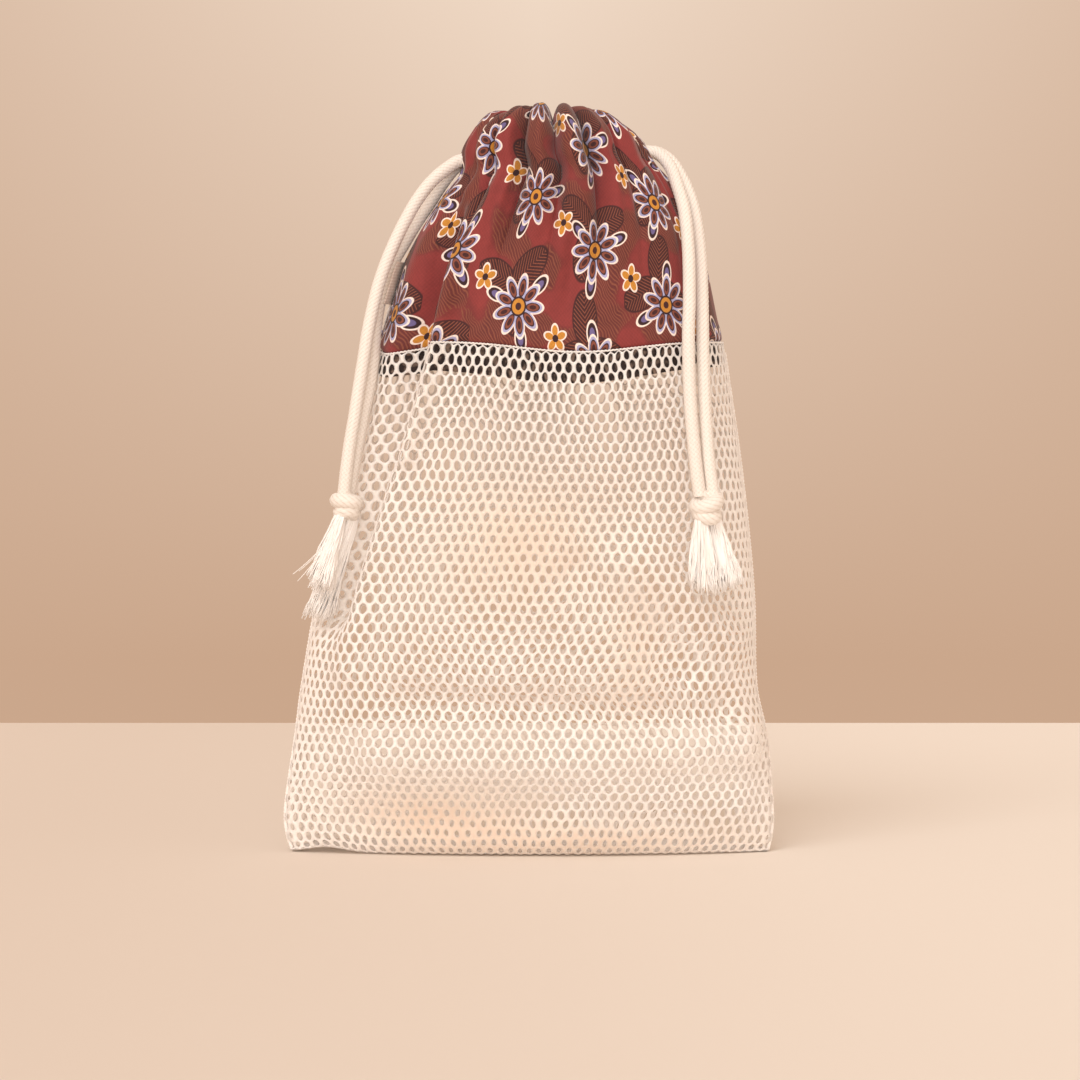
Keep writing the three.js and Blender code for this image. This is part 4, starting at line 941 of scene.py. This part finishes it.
def tassel_yarns(name, top, tip, spread):
    """Yarns of one cord end, as thin tubes that fall from the knot in locks to their frayed ends."""
    random = np.random.default_rng(len(name) + round(abs(10 * tip[0])))
    top, tip = np.array(top), np.array(tip)
    down = (tip - top) / np.linalg.norm(tip - top)
    aside = np.cross((1, 0, 0), down)
    aside /= np.linalg.norm(aside)
    across = np.stack([aside, np.cross(down, aside)])
    along = np.linspace(0, 1, YARN_POINTS)
    taper = 1 - YARN_TAPER * along
    core = CORE_RADIUS + CORE_SPREAD * (spread - CORE_WITHIN) * along
    core = np.minimum(core, CORE_CLOSES * (1 - along) + CORE_TIP)
    yarns = [tube(top + np.outer(CORE_LENGTH * along, tip - top), core, CORE_SIDES)]
    for lock in range(LOCKS):
        turn = 2 * math.pi * (lock + LOCK_SCATTER * random.random()) / LOCKS
        place = 0 if lock == 0 else LOCK_OUT[0] + LOCK_OUT[1] * random.random()
        way = place * np.array([math.cos(turn), math.sin(turn)]) @ across
        length = LOCK_LENGTH[0] + LOCK_LENGTH[1] * random.random()
        bend = random.normal(0, LOCK_BEND, 2) @ across
        centre = top + np.outer(along * length, tip - top)
        centre += np.outer(LOCK_TOP * (1 - along) + LOCK_SPREAD * spread * along**LOCK_OPENING, way)
        centre += np.outer(np.sin(math.pi * along) * along, bend)
        for _ in range(LOCK_YARNS):
            start = 2 * math.pi * random.random()
            reach = math.sqrt(random.random())
            turns = start + along * (YARN_TURN + random.random())
            swell = reach * (LOCK_RADIUS + LOCK_SWELL * along)
            round_lock = np.column_stack([np.cos(turns), np.sin(turns)]) * swell[:, None]
            cut = 1 + YARN_CUT * random.normal() * along
            waves = YARN_WAVES + YARN_WAVES * random.random()
            wave = np.sin(2 * math.pi * waves * along + start) * along
            round_lock += np.outer(wave, random.normal(0, YARN_WAVE, 2))
            line = top + (centre + round_lock @ across - top) * cut[:, None]
            yarns.append(tube(line, YARN_RADIUS * taper, YARN_SIDES))
    for _ in range(STRAYS.get(name, 0)):
        way = np.array(STRAY_WAYS[name.split("_")[1]]) + STRAY_SCATTER * random.normal(size=3)
        reach = STRAY_REACH[0] + STRAY_REACH[1] * random.random()
        line = top + np.outer(STRAY_LENGTH * along, tip - top) + np.outer(reach * along**STRAY_CURVE, way)
        line += np.outer(np.sin(math.pi * along), (0, 0, 1))
        yarns.append(tube(line, STRAY_THIN * YARN_RADIUS * taper, YARN_SIDES))
    return joined(yarns)


tassels = {}
for side, ends in TASSELS.items():
    for end, (top, tip, spread) in ends.items():
        name = f"tassel_{side}_{end}"
        tassels[name] = add_piece(f"frayed_{name}", *tassel_yarns(name, top, tip, spread), frayed_cotton)
        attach(tassels[name], "root")
        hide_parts(name)

# Side label: a bare tab of satin tape, caught in the left side seam of the cotton and lying forward on it.
# The thread that holds it runs on down the seam below it.
LABEL_LOW, LABEL_HIGH, LABEL_LENGTH = 234.0, 252.0, 9.0
LABEL_ROWS, LABEL_COLUMNS = 24, 12
LABEL_OFF = 0.9  # from the cotton at the seam
LABEL_TURNS = (-10.0, 40.0)  # degrees outwards from straight ahead, at the seam and at its free edge
LABEL_THICKNESS = 0.4
STITCHES_LOW, STITCH_OFF, STITCH_THICKNESS, STITCH_POINTS = 223.0, 0.7, 0.9, 12
SEAM_ROWS = slice(2 * ROWS_BETWEEN, 6 * ROWS_BETWEEN)  # rows of the cotton that the label's seam is in

# Satin-woven tape, a pinkish pale grey, with a soft painted sheen in lighter bands along the weft.
WEFT_STEP = 4.0  # mm, far coarser than the real weft so that its painted sheen shows
satin, tree, shader = new_material("satin_tape")
place = add_node(tree, "ShaderNodeTexCoord", {}, output=3)
weft_and_sheen = add_node(tree, "ShaderNodeTexWave",
                {"Vector": place, "Scale": 1 / (WEFT_STEP * MM), "Distortion": 0.6}, bands_direction="Z")
# Painted sheen: lighter bands along the weft
colour = add_node(tree, "ShaderNodeMix", {0: weft_and_sheen, 6: linear("#D6C2B4"), 7: linear("#E6D8CC")},
                  output=2, data_type="RGBA")
tree.links.new(colour, shader.inputs["Base Color"])
shader.inputs["Roughness"].default_value = 0.45
shader.inputs["Sheen Weight"].default_value = 0.2
bump = add_node(tree, "ShaderNodeBump", {"Strength": 0.3, "Distance": 0.1 * MM, "Height": weft_and_sheen})
tree.links.new(bump, shader.inputs["Normal"])


def on_left_seam(low, high, count):
    """Points on the left side seam of the cotton, evenly between two heights."""
    seam = cotton_points[SEAM_ROWS, 0]
    heights = np.linspace(low, high, count)
    return np.column_stack([np.interp(heights, seam[:, 2], seam[:, k]) for k in range(3)])


turns = np.radians(np.linspace(*LABEL_TURNS, LABEL_COLUMNS))
steps = LABEL_LENGTH / (LABEL_COLUMNS - 1) * np.arange(LABEL_COLUMNS).clip(0, 1)
reach = np.column_stack([-np.cumsum(steps * np.sin(turns)), -np.cumsum(steps * np.cos(turns)), 0 * turns])
edge = on_left_seam(LABEL_LOW, LABEL_HIGH, LABEL_ROWS) - (LABEL_OFF, 0, 0)
points = (edge[:, None, :] + reach[None, :, :]).reshape(-1, 3)
side_label = add_piece("satin_side_label", points, grid_faces(LABEL_ROWS, LABEL_COLUMNS), satin)
thickness = side_label.modifiers.new("tape", "SOLIDIFY")
thickness.thickness = LABEL_THICKNESS * MM
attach(side_label, "root")
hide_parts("side_label")
stitch_line = on_left_seam(STITCHES_LOW, LABEL_HIGH, STITCH_POINTS) - (STITCH_OFF, STITCH_OFF, 0)
add_seam("label_stitches", stitch_line, STITCH_THICKNESS)

# Table: a plain table top that ends behind the bag, in front of a plain wall.
# It is of board, sprayed with a pale matt paint, painted a little lighter to the right as painted light.
TABLE_BACK, TABLE_FRONT, TABLE_SIDE = 530.0, -2200.0, 2200.0
TABLE_FADE = 260.0  # mm to each side, over which painted light makes the paint lighter to the right

# Sprayed matt paint: pale, with no gloss, and painted lighter to the right as painted light.
table_paint, tree, shader = new_material("pale_table_paint")
place = add_node(tree, "ShaderNodeTexCoord", {}, output=3)
across = add_node(tree, "ShaderNodeSeparateXYZ", {0: place})
# Painted light: the paint turns lighter towards the right
painted_light_fade = add_node(tree, "ShaderNodeMapRange",
                  {"Value": across, "From Min": -TABLE_FADE * MM, "From Max": TABLE_FADE * MM},
                  interpolation_type="SMOOTHSTEP")
colour = add_node(tree, "ShaderNodeMix", {0: painted_light_fade, 6: linear("#DFD4C9"), 7: linear("#EEE8E0")},
                  output=2, data_type="RGBA")
tree.links.new(colour, shader.inputs["Base Color"])
shader.inputs["Roughness"].default_value = 0.75
table_points = [(-TABLE_SIDE, TABLE_FRONT, 0), (TABLE_SIDE, TABLE_FRONT, 0),
                (TABLE_SIDE, TABLE_BACK, 0), (-TABLE_SIDE, TABLE_BACK, 0)]
table = add_piece("table", table_points, [(0, 1, 2, 3)], table_paint, smooth=False)

# Light: a very large soft light from the upper left in front, as even as a window, and a fill from the front.
# The pale room lights the rest, and its wall glows a little behind the top of the bag.
WALL_LOW, WALL_HIGH = -0.08, 0.2  # how steep the view is where the glow begins and is full
WALL_SIDE, WALL_SIDE_GLOW = 0.2, 0.35  # how far aside the glow falls off, and what is left of it there
ROOM_STRENGTH = 1.1
world = bpy.data.worlds.new("pale_room")
world.use_nodes = True
bpy.context.scene.world = world
tree = world.node_tree
direction = add_node(tree, "ShaderNodeTexCoord", {})
parts = add_node(tree, "ShaderNodeSeparateXYZ", {0: direction}).node.outputs
rise = add_node(tree, "ShaderNodeMapRange", {"Value": parts[2], "From Min": WALL_LOW, "From Max": WALL_HIGH})
beside = add_node(tree, "ShaderNodeMath", {0: parts[0]}, operation="ABSOLUTE")
centred = add_node(tree, "ShaderNodeMapRange",
                   {"Value": beside, "From Max": WALL_SIDE, "To Min": 1.0, "To Max": WALL_SIDE_GLOW})
glow = add_node(tree, "ShaderNodeMath", {0: rise, 1: centred}, operation="MULTIPLY")
wall = add_node(tree, "ShaderNodeMix", {0: glow, 6: linear("#C2A086"), 7: linear("#F1DECC")},
                output=2, data_type="RGBA")
tree.links.new(wall, tree.nodes["Background"].inputs["Color"])
tree.nodes["Background"].inputs["Strength"].default_value = ROOM_STRENGTH

# Lights: name, where from, strength, and how wide they are in degrees
LIGHTS = [("window_light", (-0.5, -1.0, 1.2), 1.3, 40.0), ("room_fill", (0.05, -1.0, 0.1), 1.0, 20.0)]
for name, light_from, strength, width in LIGHTS:
    light = bpy.data.lights.new(name, "SUN")
    light.energy = strength
    light.angle = math.radians(width)
    lamp = bpy.data.objects.new(name, light)
    lamp.rotation_euler = Vector(light_from).to_track_quat("Z", "Y").to_euler()
    bpy.context.scene.collection.objects.link(lamp)

# Camera: straight in front of the bag and a little above it, far enough for a flat view.
# Its aim sets where the bag stands in the picture.
FRAME_WIDTH = 455.5  # mm across the picture at the front of the bag
CAMERA_DISTANCE = 1350.0
CAMERA_RISE = 2.5  # degrees
AIM = (4.7, -30.0, 134.0)
SENSOR = 36.0
FAR_CLIP = 20.0  # m
camera = bpy.data.objects.new("camera", bpy.data.cameras.new("camera"))
camera.data.sensor_width = SENSOR
camera.data.lens = SENSOR * CAMERA_DISTANCE / FRAME_WIDTH
rise = math.radians(CAMERA_RISE)
camera.location = [AIM[0] * MM, (AIM[1] - CAMERA_DISTANCE * math.cos(rise)) * MM,
                   (AIM[2] + CAMERA_DISTANCE * math.sin(rise)) * MM]
camera.rotation_euler = (math.pi / 2 - rise, 0, 0)
camera.data.clip_end = FAR_CLIP
bpy.context.scene.collection.objects.link(camera)
bpy.context.scene.camera = camera
bpy.context.scene.view_settings.view_transform = "Standard"
